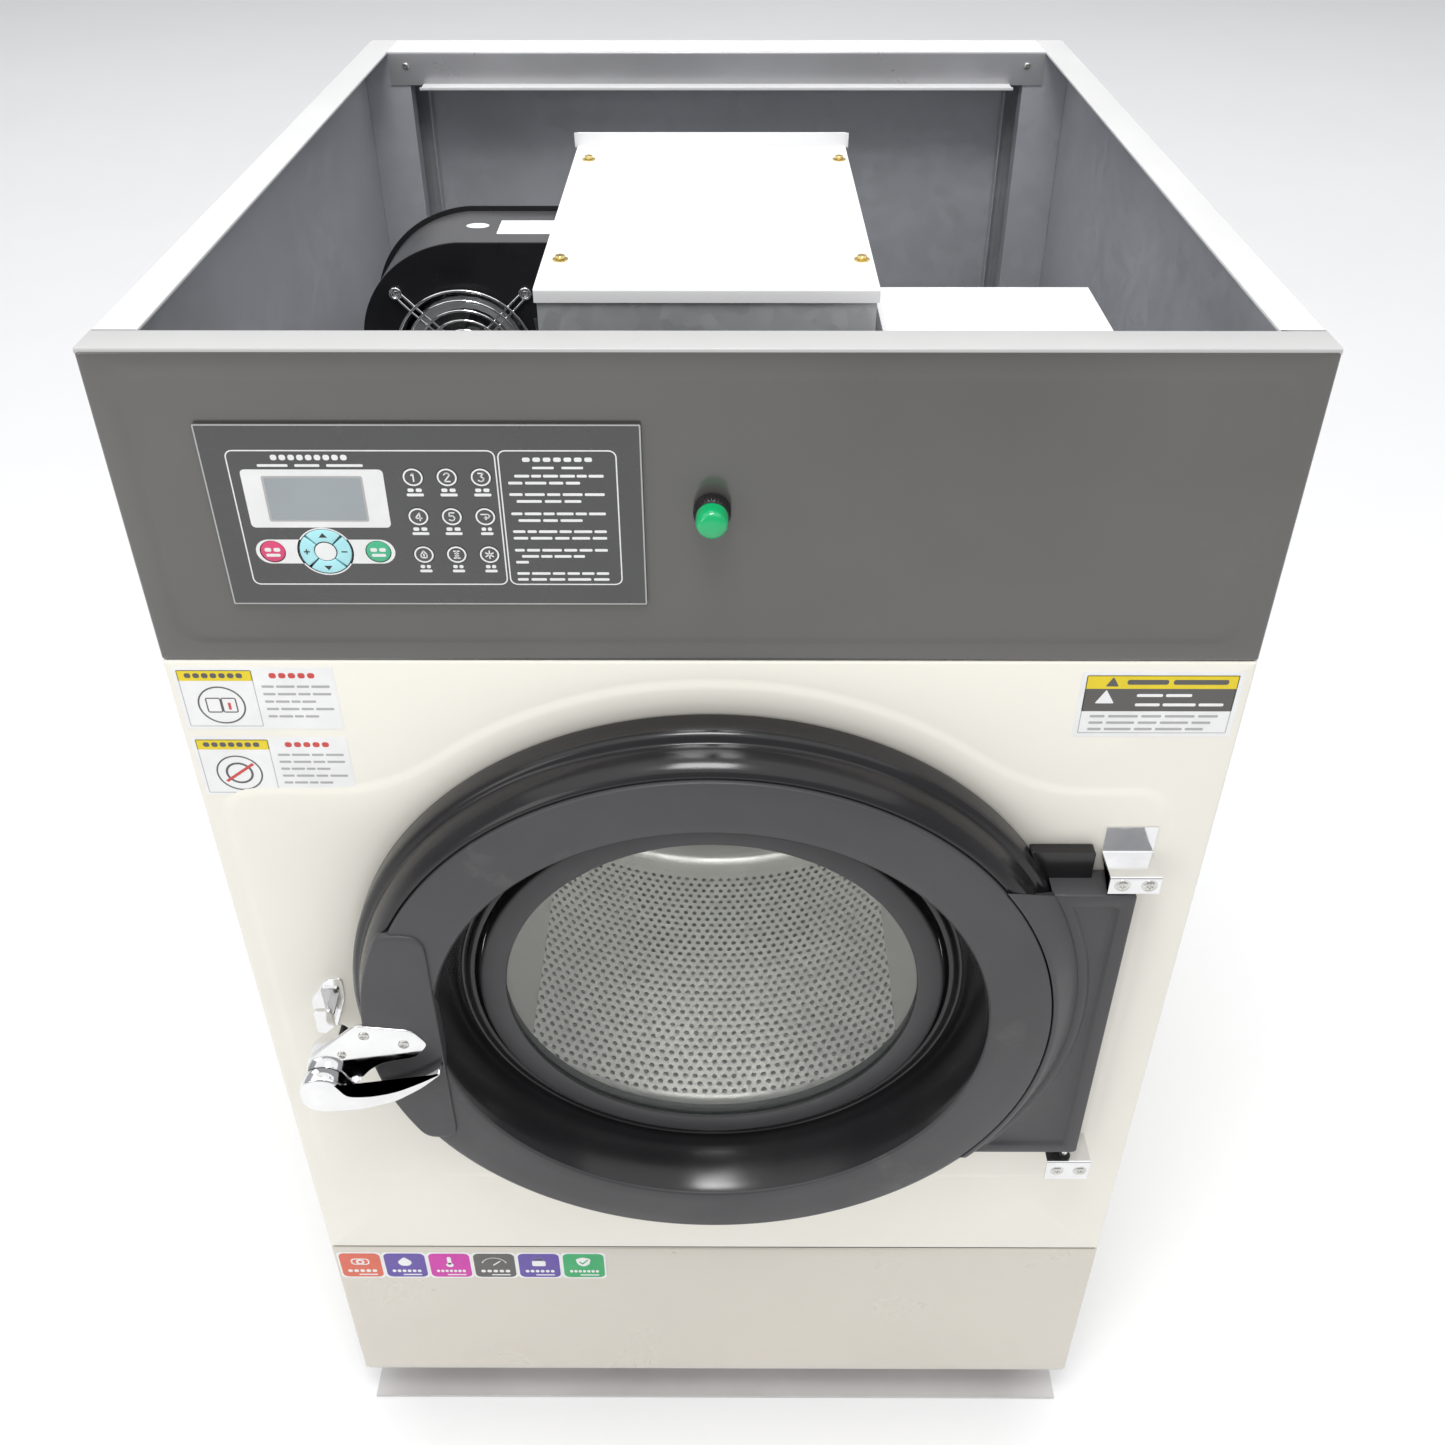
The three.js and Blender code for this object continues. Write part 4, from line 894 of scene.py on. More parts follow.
# moulded insert on the door's left
# a segment of a disc round the door's axis, cut by an upright chord, with rounded ends
INSERT_R, INSERT_CHORD_X = 328, -256
INSERT_TOP, INSERT_FOOT = AXIS_Z + 137, AXIS_Z - 159
turn_top = 180 - math.degrees(math.asin((INSERT_TOP - AXIS_Z) / INSERT_R))
turn_foot = 180 + math.degrees(math.asin((AXIS_Z - INSERT_FOOT) / INSERT_R))
insert = arc(0, AXIS_Z, INSERT_R, turn_top, turn_foot, 14)
insert = rounded(insert + [(INSERT_CHORD_X, INSERT_FOOT), (INSERT_CHORD_X, INSERT_TOP)], 24, 4)
bm = bmesh.new()
middle = Vector((-290, 812))


def shrunk(outline, inset):
    out = []
    for u, v in outline:
        p = Vector((u, v))
        inward = middle - p
        out.append(tuple(p + inward.normalized() * inset))
    return out


rows = []
for inset, out in ((0, 50), (0, 62.2), (0.8, 63.4), (2.4, 64.0), (6, 64.2)):
    rows.append([(u, OUT(out), v) for u, v in shrunk(insert, inset)])
loft(bm, rows, start_cap=True, end_cap=True)
piece("door_insert", bm, door_plastic, "door", "dark_plastic", angle=50)

# ---------------------------------------------------------------- latch

bm = bmesh.new()
strike = rounded([(-398, 753), (-383, 743), (-363, 806), (-362, 833), (-378, 831), (-397, 802)], 5)
prism(bm, strike, OUT(3.2), OUT(0.3), "XZ")
prism(bm, rounded([(-391, 771), (-373, 771), (-373, 804), (-391, 804)], 4), OUT(19), OUT(15), "XZ")
prism(bm, rounded([(-386, 775), (-376, 775), (-376, 785), (-386, 785)], 2), OUT(16), OUT(2), "XZ")
piece("latch_striker", bm, chrome, slot="chrome", stands_for=["latch_strike"], bevel=0.7)

bm = bmesh.new()
plate = rounded(
    [(-393, 753), (-368, 743), (-345, 753), (-328, 777), (-313, 788), (-281, 796), (-268, 814), (-281, 835),
     (-334, 842), (-356, 821), (-387, 790)],
    7,
)
prism(bm, plate, OUT(65.7), OUT(61.8), "XZ")
neck = rounded([(-393, 753), (-368, 743), (-350, 753), (-347, 812), (-356, 820), (-387, 790)], 6)
prism(bm, neck, OUT(61.9), OUT(44), "XZ")
piece("latch_plate", bm, chrome, "door", "chrome", stands_for=["latch_body"], bevel=1.1)
bm = bmesh.new()
for x, z, r in ((-327, 828, 5.2), (-291, 816, 5.2), (-352, 800, 4.4), (-380, 772, 4.0)):
    screw(bm, (x, OUT(65.6), z), (0, -1, 0), r, 1.8)
piece("latch_screws", bm, zinc_screw, "door", "chrome")

lever = [(-396, 764), (-397, 742), (-386, 731), (-372, 730), (-340, 733), (-306, 745), (-276, 767),
         (-256, 788),
         (-257, 794), (-276, 781), (-304, 765), (-330, 758), (-350, 758), (-354, 770), (-362, 779),
         (-374, 782),
         (-388, 778)]
lever = rounded(lever, 12, 4)
bm = bmesh.new()
rows = []
for inset, out in ((0.6, 66.2), (0, 67), (0, 76.0), (0.5, 78.2), (1.6, 79.5), (3.2, 80)):
    row = []
    for i, (u, v) in enumerate(lever):
        a = Vector(lever[i - 1])
        b = Vector(lever[(i + 1) % len(lever)])
        along = (b - a).normalized()
        left = Vector((-along.y, along.x))
        row.append((u + left.x * inset, OUT(out), v + left.y * inset))
    rows.append(row)
loft(bm, rows, start_cap=True, end_cap=True)
piece("latch_grip", bm, chrome, "latch_handle", "chrome", stands_for=["latch_lever"], angle=50)

# ---------------------------------------------------------------- drum

DRUM_IN = 362.5
drum_low, drum_high = edges_of("drum_basket")
DRUM_Y0, DRUM_Y1 = drum_low.y, drum_high.y
PITCH_COUNT = 190
HOLE_R = 3.25


def perforated(bm, cells, pitch, place, depth):
    """Hexagonal cells, each with a round hole whose rim dips away from the surface."""
    corner = pitch / math.sqrt(3)
    ring = []
    for k in range(12):
        a = math.radians(30 * k)
        ring.append((corner if k % 2 else pitch / 2, a))
    for cu, cv in cells:
        edge = [(cu + r * math.cos(a), cv + r * math.sin(a)) for r, a in ring]
        hole = [(cu + HOLE_R * math.cos(a), cv + HOLE_R * math.sin(a)) for _, a in ring]
        dip = [(cu + (HOLE_R - 0.5) * math.cos(a), cv + (HOLE_R - 0.5) * math.sin(a)) for _, a in ring]
        rows = [[bm.verts.new(place(u, v, 0)) for u, v in edge]]
        rows.append([bm.verts.new(place(u, v, 0)) for u, v in hole])
        rows.append([bm.verts.new(place(u, v, depth)) for u, v in dip])
        for a, b in zip(rows, rows[1:]):
            for i in range(12):
                j = (i + 1) % 12
                bm.faces.new((a[i], a[j], b[j], b[i]))


def drum_wall():
    """The perforated cylinder, between plain bands at its front and back."""
    pitch = 2 * math.pi * DRUM_IN / PITCH_COUNT
    step = pitch * math.sqrt(3) / 2
    y0, y1 = DRUM_Y0 + 26, DRUM_Y1 - 30
    rows = int((y1 - y0) / step)
    cells = [
        ((c + 0.5 * (r % 2)) * pitch, y0 + (r + 0.7) * step)
        for r in range(rows)
        for c in range(PITCH_COUNT)
    ]

    def place(u, v, depth):
        turn = u / DRUM_IN
        r = DRUM_IN + depth
        return (r * math.sin(turn), v, AXIS_Z - r * math.cos(turn))

    mesh = bmesh.new()
    perforated(mesh, cells, pitch, place, 1.8)
    return mesh, y0 + 0.2 * step, y0 + (rows - 0.2) * step


bm, wall_front, wall_back = drum_wall()
bmesh.ops.remove_doubles(bm, verts=bm.verts, dist=0.05)
piece("drum_wall", bm, stainless, "drum", "stainless", stands_for=["drum_basket"], angle=70)


def drum_back():
    """The perforated end wall, with a plain hub and a plain rim."""
    pitch = 12.0
    step = pitch * math.sqrt(3) / 2
    y = DRUM_Y1 - 2.5
    cells = []
    for r in range(-34, 35):
        for c in range(-30, 31):
            u, v = (c + 0.5 * (r % 2)) * pitch, r * step
            if 76 < math.hypot(u, v) < 336:
                cells.append((u, v))
    mesh = bmesh.new()
    perforated(mesh, cells, pitch, lambda u, v, depth: (u, y + depth, AXIS_Z + v), 1.8)
    return mesh


bm = drum_back()
bmesh.ops.remove_doubles(bm, verts=bm.verts, dist=0.05)
piece("drum_end", bm, stainless, "drum", "stainless", angle=70)

bm = bmesh.new()
back_y = DRUM_Y1 - 2.5
spun(
    bm,
    [(330, back_y + 0.6), (DRUM_IN - 20, back_y + 0.3), (DRUM_IN - 12, back_y - 1.2), (DRUM_IN - 6,
        back_y - 5),
     (DRUM_IN - 2, back_y - 11), (DRUM_IN + 0.3, back_y - 20), (DRUM_IN + 0.3, wall_back - 6),
     (DRUM_IN + 2, wall_back - 6),
     (DRUM_IN + 2, back_y - 20), (DRUM_IN - 4.5, back_y - 2), (DRUM_IN - 20, back_y + 2), (330,
         back_y + 2)],
    (0, AXIS_Z), "Y", 192,
)
spun(bm, [(0, back_y - 3), (60, back_y - 3), (70, back_y - 1), (84, back_y + 0.6), (84, back_y + 2), (0,
    back_y + 2)],
     (0, AXIS_Z), "Y", 96)
front_y = DRUM_Y0
spun(
    bm,
    [(252, front_y + 13), (252, front_y + 2), (253.5, front_y + 0.4), (256, front_y), (DRUM_IN - 3,
        front_y),
     (DRUM_IN + 1.6, front_y + 1.4), (DRUM_IN + 2.4, front_y + 5), (DRUM_IN + 2.4, wall_front + 8),
     (DRUM_IN + 0.3, wall_front + 8), (DRUM_IN + 0.3, front_y + 6), (DRUM_IN - 3, front_y + 2.5), (256,
         front_y + 2.5),
     (254.5, front_y + 4), (254.5, front_y + 13)],
    (0, AXIS_Z), "Y", 192,
)
piece("drum_rims", bm, stainless_plain, "drum", "stainless", angle=50)

LIFTER_HALF = 0.402
for number in (1, 2, 3):
    turn = (2 * number - 1) * math.pi / 3
    high = edges_of("drum_lifter_" + str(number))[1]
    foot_r = DRUM_IN - 1.6
    foot = []
    for k in range(13):
        a = LIFTER_HALF * (2 * k / 12 - 1)
        foot.append((foot_r * math.sin(a), -foot_r * math.cos(a)))
    crown = rounded([foot[-1], (22, -303.5), (0, -294), (-22, -303.5), foot[0]], 24, 6, closed=False)[1:-1]
    section = foot + crown
    bm = bmesh.new()
    c, s = math.cos(turn), math.sin(turn)
    turned_section = [(u * c + v * s, AXIS_Z - u * s + v * c) for u, v in section]
    prism(bm, turned_section, DRUM_Y0 + 30, high.y, "XZ")
    piece(
        "drum_rib_" + str(number), bm, stainless_plain, "drum", "stainless",
        stands_for=["drum_lifter_" + str(number)], bevel=2.0, angle=40,
    )

# ---------------------------------------------------------------- top compartment

box_low, box_high = edges_of("heater_lid")
bm = bmesh.new()
lid_top = box_high.z - 14
prism(
    bm,
    folded(
        [
            (box_low.y, lid_top - 12), (box_low.y, lid_top), (box_high.y, lid_top),
            (box_high.y, box_high.z)
        ],
        -1.6, 2.2
    ),
    box_low.x + 3.2, box_high.x - 3.2, "YZ",
)
right_x = box_high.x - 3.2
prism(bm, rounded([(right_x - 1.7, lid_top - 12), (right_x, lid_top - 12), (right_x, lid_top - 0.1),
                   (right_x - 1.7, lid_top - 0.1)], 0.6),
      box_low.y + 0.6, box_high.y, "XZ")
prism(bm, [(box_low.x, lid_top - 1.6), (box_high.x, lid_top - 1.6), (box_high.x, box_high.z), (box_low.x,
    box_high.z)],
      box_high.y - 1.7, box_high.y - 0.05, "XZ")
piece("heater_cover", bm, white_paint, slot="white_paint", stands_for=["heater_lid"], bevel=0.5)
bm = bmesh.new()
for x in (-132, 132):
    for y in (-228, 63):
        screw(bm, (x, y, lid_top), (0, 0, 1), 4.6, 4.2, "hex")
piece("heater_cover_bolts", bm, brass, slot="copper")

BLOWER = (edges_of("blower_impeller")[0].x + edges_of("blower_impeller")[1].x) / 2, 1346.0
blow_low, blow_high = edges_of("blower_housing")
BLOWER_Y0, BLOWER_Y1 = blow_low.y, blow_high.y
MOUTH_X = blow_high.x


def scroll(inset):
    """The fan case's outline: a shrinking spiral that leaves level to the right."""
    top = 111 - inset
    points = [(MOUTH_X, BLOWER[1] + top)]
    for k in range(91):
        turn = 90 + 3 * k
        r = top - 0.14 * (turn - 90)
        points.append((BLOWER[0] + r * math.cos(math.radians(turn)),
                       BLOWER[1] + r * math.sin(math.radians(turn))))
    points += [(BLOWER[0] + 66, BLOWER[1] + 36 + inset), (MOUTH_X, BLOWER[1] + 36 + inset)]
    return points


inlet = circle(*BLOWER, 62, 96)
bm = bmesh.new()
prism(bm, scroll(0), BLOWER_Y0, BLOWER_Y0 + 2.5, "XZ", holes=[inlet])
prism(bm, scroll(0), BLOWER_Y1 - 2.5, BLOWER_Y1, "XZ", holes=[circle(*BLOWER, 12, 32)])
piece("blower_plates", bm, black_coat, slot="black_plastic", stands_for=["blower_housing"], bevel=0.5)
bm = bmesh.new()
band_rows = []
for inset, y in (
    (0.6, BLOWER_Y0 + 2), (0.6, BLOWER_Y1 - 2), (2.4, BLOWER_Y1 - 2), (2.4, BLOWER_Y0 + 2)
):
    band_rows.append([(u, y, v) for u, v in scroll(inset)])
loft(bm, band_rows, loop=True)
piece("blower_band", bm, scroll_coat, slot="black_plastic")
bm = bmesh.new()
outer = [(min(u, MOUTH_X - 0.5), v) for u, v in scroll(-4.6)]
prism(bm, outer, BLOWER_Y1 - 4, BLOWER_Y1 - 2.7, "XZ", holes=[scroll(3)[1:-3]])
piece("blower_flange", bm, black_coat, slot="black_plastic", bevel=0.3)

bm = bmesh.new()
guard_low = edges_of("finger_guard")[0]
wire_r = 1.45
ring_y = guard_low.y + wire_r + 1.2
for radius in (16, 26, 36, 46, 56, 66):
    points = [(BLOWER[0] + radius * math.cos(a), ring_y, BLOWER[1] + radius * math.sin(a))
              for a in (2 * math.pi * k / 72 for k in range(72))]
    sweep(bm, points, wire_r, 8, closed=True)
for k in range(4):
    a = math.pi / 4 + k * math.pi / 2
    c, s = math.cos(a), math.sin(a)
    for shift in (-3.2, 3.2):
        points = []
        for r, y, off in ((14, ring_y + 2, 1), (40, ring_y + 2, 1), (66, ring_y + 2, 1), (74, ring_y + 3,
            1),
                          (80, BLOWER_Y0 - 2.2, 0.95), (84, BLOWER_Y0 - 1.9, 0.9)):
            points.append((BLOWER[0] + r * c - shift * off * s, y, BLOWER[1] + r * s + shift * off * c))
        sweep(bm, points, wire_r * 0.9, 8)
    eye = [(BLOWER[0] + 87 * c + 5 * math.cos(t), BLOWER_Y0 - 1.9, BLOWER[1] + 87 * s + 5 * math.sin(t))
           for t in (2 * math.pi * j / 28 for j in range(28))]
    sweep(bm, eye, 1.5, 8, closed=True)
    screw(bm, (BLOWER[0] + 87 * c, BLOWER_Y0 - 0.4, BLOWER[1] + 87 * s), (0, -1, 0), 3.6, 2.2)
piece("fan_guard_wire", bm, chrome, slot="chrome", stands_for=["finger_guard"], angle=60)

# ---------------------------------------------------------------- printed marks


class Print:
    """Collects thin printed shapes, colour by colour, on the front of a panel."""

    def __init__(self, name, base, out):
        self.name = name
        self.base = base
        self.out = out
        self.layers = {}

    def put(self, colour, outline, level=0, holes=()):
        target = self.layers.setdefault(colour, bmesh.new())
        near = self.base - self.out - 0.12 * level
        prism(target, outline, near - 0.12, near, "XZ", holes=holes)

    def line(self, colour, points, width, level=0):
        for (u0, v0), (u1, v1) in zip(points, points[1:]):
            along = Vector((u1 - u0, v1 - v0)).normalized() * (width / 2)
            side = Vector((-along.y, along.x))
            a = Vector((u0, v0)) - along * 0.6
            b = Vector((u1, v1)) + along * 0.6
            self.put(
                colour, [tuple(a - side), tuple(b - side), tuple(b + side), tuple(a + side)], level
            )

    def frame(self, colour, u0, u1, v0, v1, r, width, level=0):
        inner = rounded_rect(u0 + width, u1 - width, v0 + width, v1 - width, max(r - width, 0.2))
        self.put(colour, rounded_rect(u0, u1, v0, v1, r), level, holes=[inner])

    def ring(self, colour, u, v, outer, inner, level=0):
        self.put(colour, circle(u, v, outer, 40), level, holes=[circle(u, v, inner, 40)])

    def text_bars(self, colour, u0, u1, v, height, words, level=0):
        """A line of generic bars that stands for small print."""
        total = sum(words) + 0.35 * (len(words) - 1)
        at = u0
        for word in words:
            width = (u1 - u0) * word / total
            self.put(
                colour, rounded_rect(at, at + width, v - height / 2, v + height / 2, height * 0.35, 2),
                level
            )
            at += width + (u1 - u0) * 0.35 / total

    def done(self, body="cabinet", slot="white_paint"):
        for colour, mesh in self.layers.items():
            piece(self.name + "_" + colour, mesh, INKS[colour], body, slot, angle=20)


DIGITS = {
    1: [[(-0.18, 0.22), (0.05, 0.5), (0.05, -0.5)]],
    2: [[(-0.3, 0.3), (-0.15, 0.5), (0.15, 0.5), (0.3, 0.28), (-0.3, -0.5), (0.32, -0.5)]],
    3: [[(-0.28, 0.5), (0.28, 0.5), (-0.02, 0.1), (0.3, -0.12), (0.22, -0.42), (-0.05, -0.5), (-0.3,
        -0.36)]],
    4: [[(0.15, -0.5), (0.15, 0.5), (-0.34, -0.2), (0.36, -0.2)]],
    5: [[(0.28, 0.5), (-0.24, 0.5), (-0.28, 0.08), (0.1, 0.12), (0.3, -0.14), (0.2, -0.42), (-0.05,
        -0.5), (-0.3, -0.38)]],
    6: [
        [(-0.45, 0.3), (0.3, 0.3), (0.5, 0.08), (0.3, -0.16), (-0.1, -0.16)],
        [(0.08, 0.02), (-0.12, -0.16), (0.08, -0.34)]
    ],
    7: [
        [(-0.3, -0.4), (0.3, -0.4), (0.34, 0.0), (0.0, 0.5), (-0.34, 0.0), (-0.3, -0.4)],
        [(0, 0.1), (0, -0.2)]
    ],
    8: [[(-0.32, 0.45), (0.32, 0.45)], [(-0.32, -0.45), (0.32, -0.45)], [(-0.2, 0.15), (0.2, 0.15)],
        [(-0.2, -0.15), (0.2, -0.15)],
        [(0, 0.45), (0, -0.45)]],
    9: [[(0, 0.5), (0, -0.5)], [(-0.43, 0.25), (0.43, -0.25)], [(-0.43, -0.25), (0.43, 0.25)]],
}

overlay_low, overlay_high = edges_of("control_overlay")
OVERLAY_OUT = FRONT - overlay_low.y
OX0, OX1, OZ0, OZ1 = overlay_low.x, overlay_high.x, overlay_low.z, overlay_high.z
KEYS = {name[4:]: edges_of(name) for name in NODES if name.startswith("key_")}


def key_centre(name):
    low, high = KEYS[name]
    return (low.x + high.x) / 2, (low.z + high.z) / 2


pad_x = key_centre("up")[0]
pad_z = key_centre("right")[1]
wells = [circle(*key_centre(k), 8.1, 32) for k in KEYS if k.startswith("program")]
wells += [circle(*key_centre(k), 10.1, 32) for k in ("stop", "start")]
wells += [circle(pad_x, pad_z, 20.6, 48)]
bm = bmesh.new()
prism(bm, rounded_rect(OX0, OX1, OZ0, OZ1, 1.2, 3), FRONT - OVERLAY_OUT, FRONT - 0.2, "XZ", holes=wells)
prism(bm, rounded_rect(-361, -67, 1295, 1426, 2, 3), FRONT + 2.6, FRONT + 22, "XZ")
spun(
    bm, [(0, FRONT - OVERLAY_OUT), (8.4, FRONT - OVERLAY_OUT), (8.4, FRONT + 2.8), (0, FRONT + 2.8)],
    (pad_x, pad_z), "Y", 32
)
piece("overlay_plate", bm, overlay_film, slot="dark_plastic", stands_for=["control_overlay"])

marks = Print("overlay_marks", FRONT, OVERLAY_OUT)
marks.frame("grey", OX0 + 0.2, OX1 - 0.2, OZ0 + 0.2, OZ1 - 0.2, 1.0, 1.1)
marks.frame("white", -358.5, -157.8, 1299, 1419.5, 6, 1.0)
marks.frame("white", -156.2, -67.6, 1299, 1419.5, 6, 1.0)
marks.text_bars("white", -325, -268, 1413.2, 4.6, [1.0] * 9)
marks.text_bars("white", -336, -257, 1406.4, 2.2, [1.6, 1.3, 1.9])
marks.put("white", rounded_rect(-350, -243, 1352, 1403, 3.5))
marks.put("grey", rounded_rect(-335, -259, 1357.5, 1397.5, 1.5), 1)
# the white capsule shows either side of the pad, round the stop and start keys
CAPSULE_R, PAD_WELL_R = 11.0, 20.7
pad_turn = math.degrees(math.asin(CAPSULE_R / PAD_WELL_R))
for key, facing in (("stop", 180), ("start", 0)):
    key_x, key_z = key_centre(key)
    outward = -2 if facing else 2
    end = arc(key_x + outward, pad_z, CAPSULE_R, facing - 90, facing + 90, 16)
    well = arc(pad_x, pad_z, PAD_WELL_R, facing + pad_turn, facing - pad_turn, 12)
    marks.put("white", end + well, holes=[circle(key_x, key_z, 10.1, 32)])
marks.ring("white", pad_x, pad_z, 21.8, 20.7)
marks.put("white", circle(pad_x, pad_z, 8.2, 32))
for number in range(1, 10):
    x, z = key_centre("program_" + str(number))
    high = 5.4 if number < 6 else 4.0
    marks.text_bars("white", x - high, x + high, z - 11.3, 3.0, [1, 1] if number < 6 else [1, 0.9])
    marks.text_bars("white", x - high * 1.2, x + high * 1.2, z - 15.4, 2.4, [2])
for row, (z, words) in enumerate((
    (1411.5, None), (1404.5, None), (1397.5, [3, 2, 3, 3, 2, 3]), (1391.5, [2, 3, 2, 2]), (1381.5, [2, 3,
        2, 3, 3]),
    (1375.5, [3, 2, 2]), (1364.5, [2, 3, 2, 3, 2, 3]), (1358.5, [3, 2, 3]), (1348.5, [2, 1.5, 3, 2, 3, 2]),
    (1342.5, [2, 3, 2, 2.5, 2]), (1331.5, [1.5, 2, 3, 2, 2, 2]), (1325.8, [3, 2, 3, 2]), (1320.4, [2]),
    (1309.8, [2, 3, 2, 2, 2, 2]), (1304.2, [1.4, 2, 2, 3, 2]),
)):
    if words is None:
        half = 26 if row == 0 else 19
        marks.text_bars(
            "white", -112 - half, -112 + half, z, 3.6 if row == 0 else 2.0, [1] * (7 if row == 0 else 2)
        )
    else:
        end = -78 if len(words) > 4 else (-140 if len(words) == 1 else -96)
        marks.text_bars("white", -150 if words[0] < 3 else -145, end, z, 2.3, words)
marks.done()
bm = bmesh.new()
prism(
    bm, rounded_rect(-333.2, -260.8, 1359.2, 1395.8, 1), FRONT - OVERLAY_OUT - 0.36,
    FRONT - OVERLAY_OUT - 0.1, "XZ"
)
piece("display_window", bm, lcd_glass, slot="glass")

KEY_OUT = 2.2
for key, (low, high) in KEYS.items():
    body = "button_" + key
    x, z = key_centre(key)
    bm = bmesh.new()
    if key in ("up", "down", "left", "right"):
        middle_turn = {"right": 0, "up": 90, "left": 180, "down": 270}[key]
        rows = []
        for inset, out in ((0, -1.8), (0, 1.7), (0.35, 2.05), (0.9, KEY_OUT)):
            spread_out = 41.6 - inset * 1.6
            spread_in = 41.6 - inset * 3.2
            ring = arc(pad_x, pad_z, 20 - inset, middle_turn - spread_out, middle_turn + spread_out, 16)
            ring += arc(pad_x, pad_z, 9 + inset, middle_turn + spread_in, middle_turn - spread_in, 10)
            rows.append([(u, OUT(out), v) for u, v in ring])
        loft(bm, rows, start_cap=True, end_cap=True)
        piece(
            "button_cap_" + key, bm, INKS["cyan"], body, "key_cyan", stands_for=["key_" + key], angle=50
        )
        sign = Print("button_sign_" + key, FRONT, KEY_OUT - 0.02)
        reach = 14.6
        c, s = math.cos(math.radians(middle_turn)), math.sin(math.radians(middle_turn))
        u, v = pad_x + reach * c, pad_z + reach * s
        if key in ("up", "down"):
            sign.put("black", [(u - 3.2, v - 1.6 * s), (u + 3.2, v - 1.6 * s), (u, v + 2.6 * s)])
        else:
            sign.line("black", [(u - 2.0, v), (u + 2.0, v)], 1.1)
            if key == "left":
                sign.line("black", [(u, v - 2.0), (u, v + 2.0)], 1.1, 0.2)
        sign.done(body, "black_plastic")
        continue
    radius = (high.x - low.x) / 2
    profile = [
        (0, OUT(-1.8)), (radius, OUT(-1.8)), (radius, OUT(1.6)), (radius - 0.3, OUT(1.95)),
        (radius - 1.0, OUT(2.12)), (0, OUT(KEY_OUT))
    ]
    spun(bm, profile, (x, z), "Y", 48)
    if key in ("stop", "start"):
        colour, slot = ("rose", "key_red") if key == "stop" else ("key_green", "key_green")
        piece("button_cap_" + key, bm, INKS[colour], body, slot, stands_for=["key_" + key], angle=50)
        sign = Print("button_sign_" + key, FRONT, KEY_OUT - 0.02)
        sign.text_bars("white", x - 6, x + 6, z + 1.8, 3.4, [1, 1])
        sign.text_bars("white", x - 5.5, x + 5.5, z - 3.2, 2.6, [2])
        sign.done(body, slot)
        continue
    piece("button_cap_" + key, bm, overlay_film, body, "key_dark", stands_for=["key_" + key], angle=50)
    sign = Print("button_sign_" + key, FRONT, KEY_OUT - 0.02)
    sign.ring("white", x, z, radius, radius - 1.3)
    size = 7.0
    for stroke in DIGITS[int(key[-1])]:
        sign.line("white", [(x + size * u, z + size * v) for u, v in stroke], 1.05)
    sign.done(body, "key_dark")

# pilot lamp: a ribbed collar and a crowned lens
lamp_low, lamp_high = edges_of("lamp_body")
LAMP = ((lamp_low.x + lamp_high.x) / 2, (lamp_low.z + lamp_high.z) / 2)
bm = bmesh.new()
rows = []
for r, out in ((10.8, 0.3), (14.4, 0.3), (14.4, 8.6), (13.6, 10.6), (12.8, 11.9), (10, 11.9)):
    row = []
    for i in range(180):
        a = 2 * math.pi * i / 180
        rib = 0.35 * (1 if (i // 3) % 2 else -1) if out < 9 and r > 14 else 0
        row.append((LAMP[0] + (r - 0.35 + rib) * math.cos(a), OUT(out),
                    LAMP[1] + (r - 0.35 + rib) * math.sin(a)))
    rows.append(row)
loft(bm, rows, loop=True)
spun(bm, [(0, OUT(-30)), (10.8, OUT(-30)), (10.8, OUT(1)), (0, OUT(1))], LAMP, "Y", 32)
piece("lamp_collar", bm, gloss_plastic, slot="black_plastic", stands_for=["lamp_body"], angle=40)
bm = bmesh.new()
spun(bm, [(0, OUT(27.9)), (6, OUT(27.7)), (9.4, OUT(26.9)), (11.3, OUT(25.2)), (12.2, OUT(23)), (12.4,
    OUT(20)),
          (12.4, OUT(12.4)), (0, OUT(12.4))], LAMP, "Y", 96)
piece("lamp_cap", bm, lens_green, slot="lamp_green", stands_for=["lamp_lens"], angle=60)

# ---------------------------------------------------------------- stickers

stick = Print("sticker_marks", FRONT, 0.1)
for z0, z1 in ((1149, 1215), (1073, 1140)):
    x0, x1 = -444, -311
    xm = x0 + 0.49 * (x1 - x0)
    stick.put("pale", rounded_rect(x0, x1, z0, z1, 1))
    stick.frame("grey", x0 + 3, xm, z0 + 3, z1 - 3, 1, 0.6, 1)
    stick.put("yellow", rounded_rect(x0 + 3, xm, z1 - 14, z1 - 3, 0.6), 1)
    stick.text_bars("dark", x0 + 9, xm - 8, z1 - 8.5, 5, [1] * 7, 2)
    cx, cz = (x0 + 3 + xm) / 2, z0 + 26
    stick.ring("dark", cx, cz, 20, 18.6, 1)
    if z0 > 1100:
        stick.frame("dark", cx - 13, cx, cz - 8, cz + 8, 2, 1.1, 1)
        stick.frame("dark", cx, cx + 13, cz - 8, cz + 8, 2, 1.1, 1)
        stick.line("red", [(cx + 6.5, cz - 4), (cx + 6.5, cz + 2)], 2.2, 2)
    else:
        stick.ring("dark", cx, cz, 12, 10, 1)
        stick.line("red", [(cx - 12, cz - 9), (cx + 13, cz + 10)], 2.6, 2)
    stick.text_bars("red", xm + 14, x1 - 16, z1 - 8.5, 5.5, [1] * 5, 1)
    for k in range(5):
        stick.text_bars(
            "grey", xm + 6, x1 - 5 - (14 if k in (2, 4) else 0), z1 - 20 - 8 * k, 2.4, [2, 3, 2, 3], 1
        )
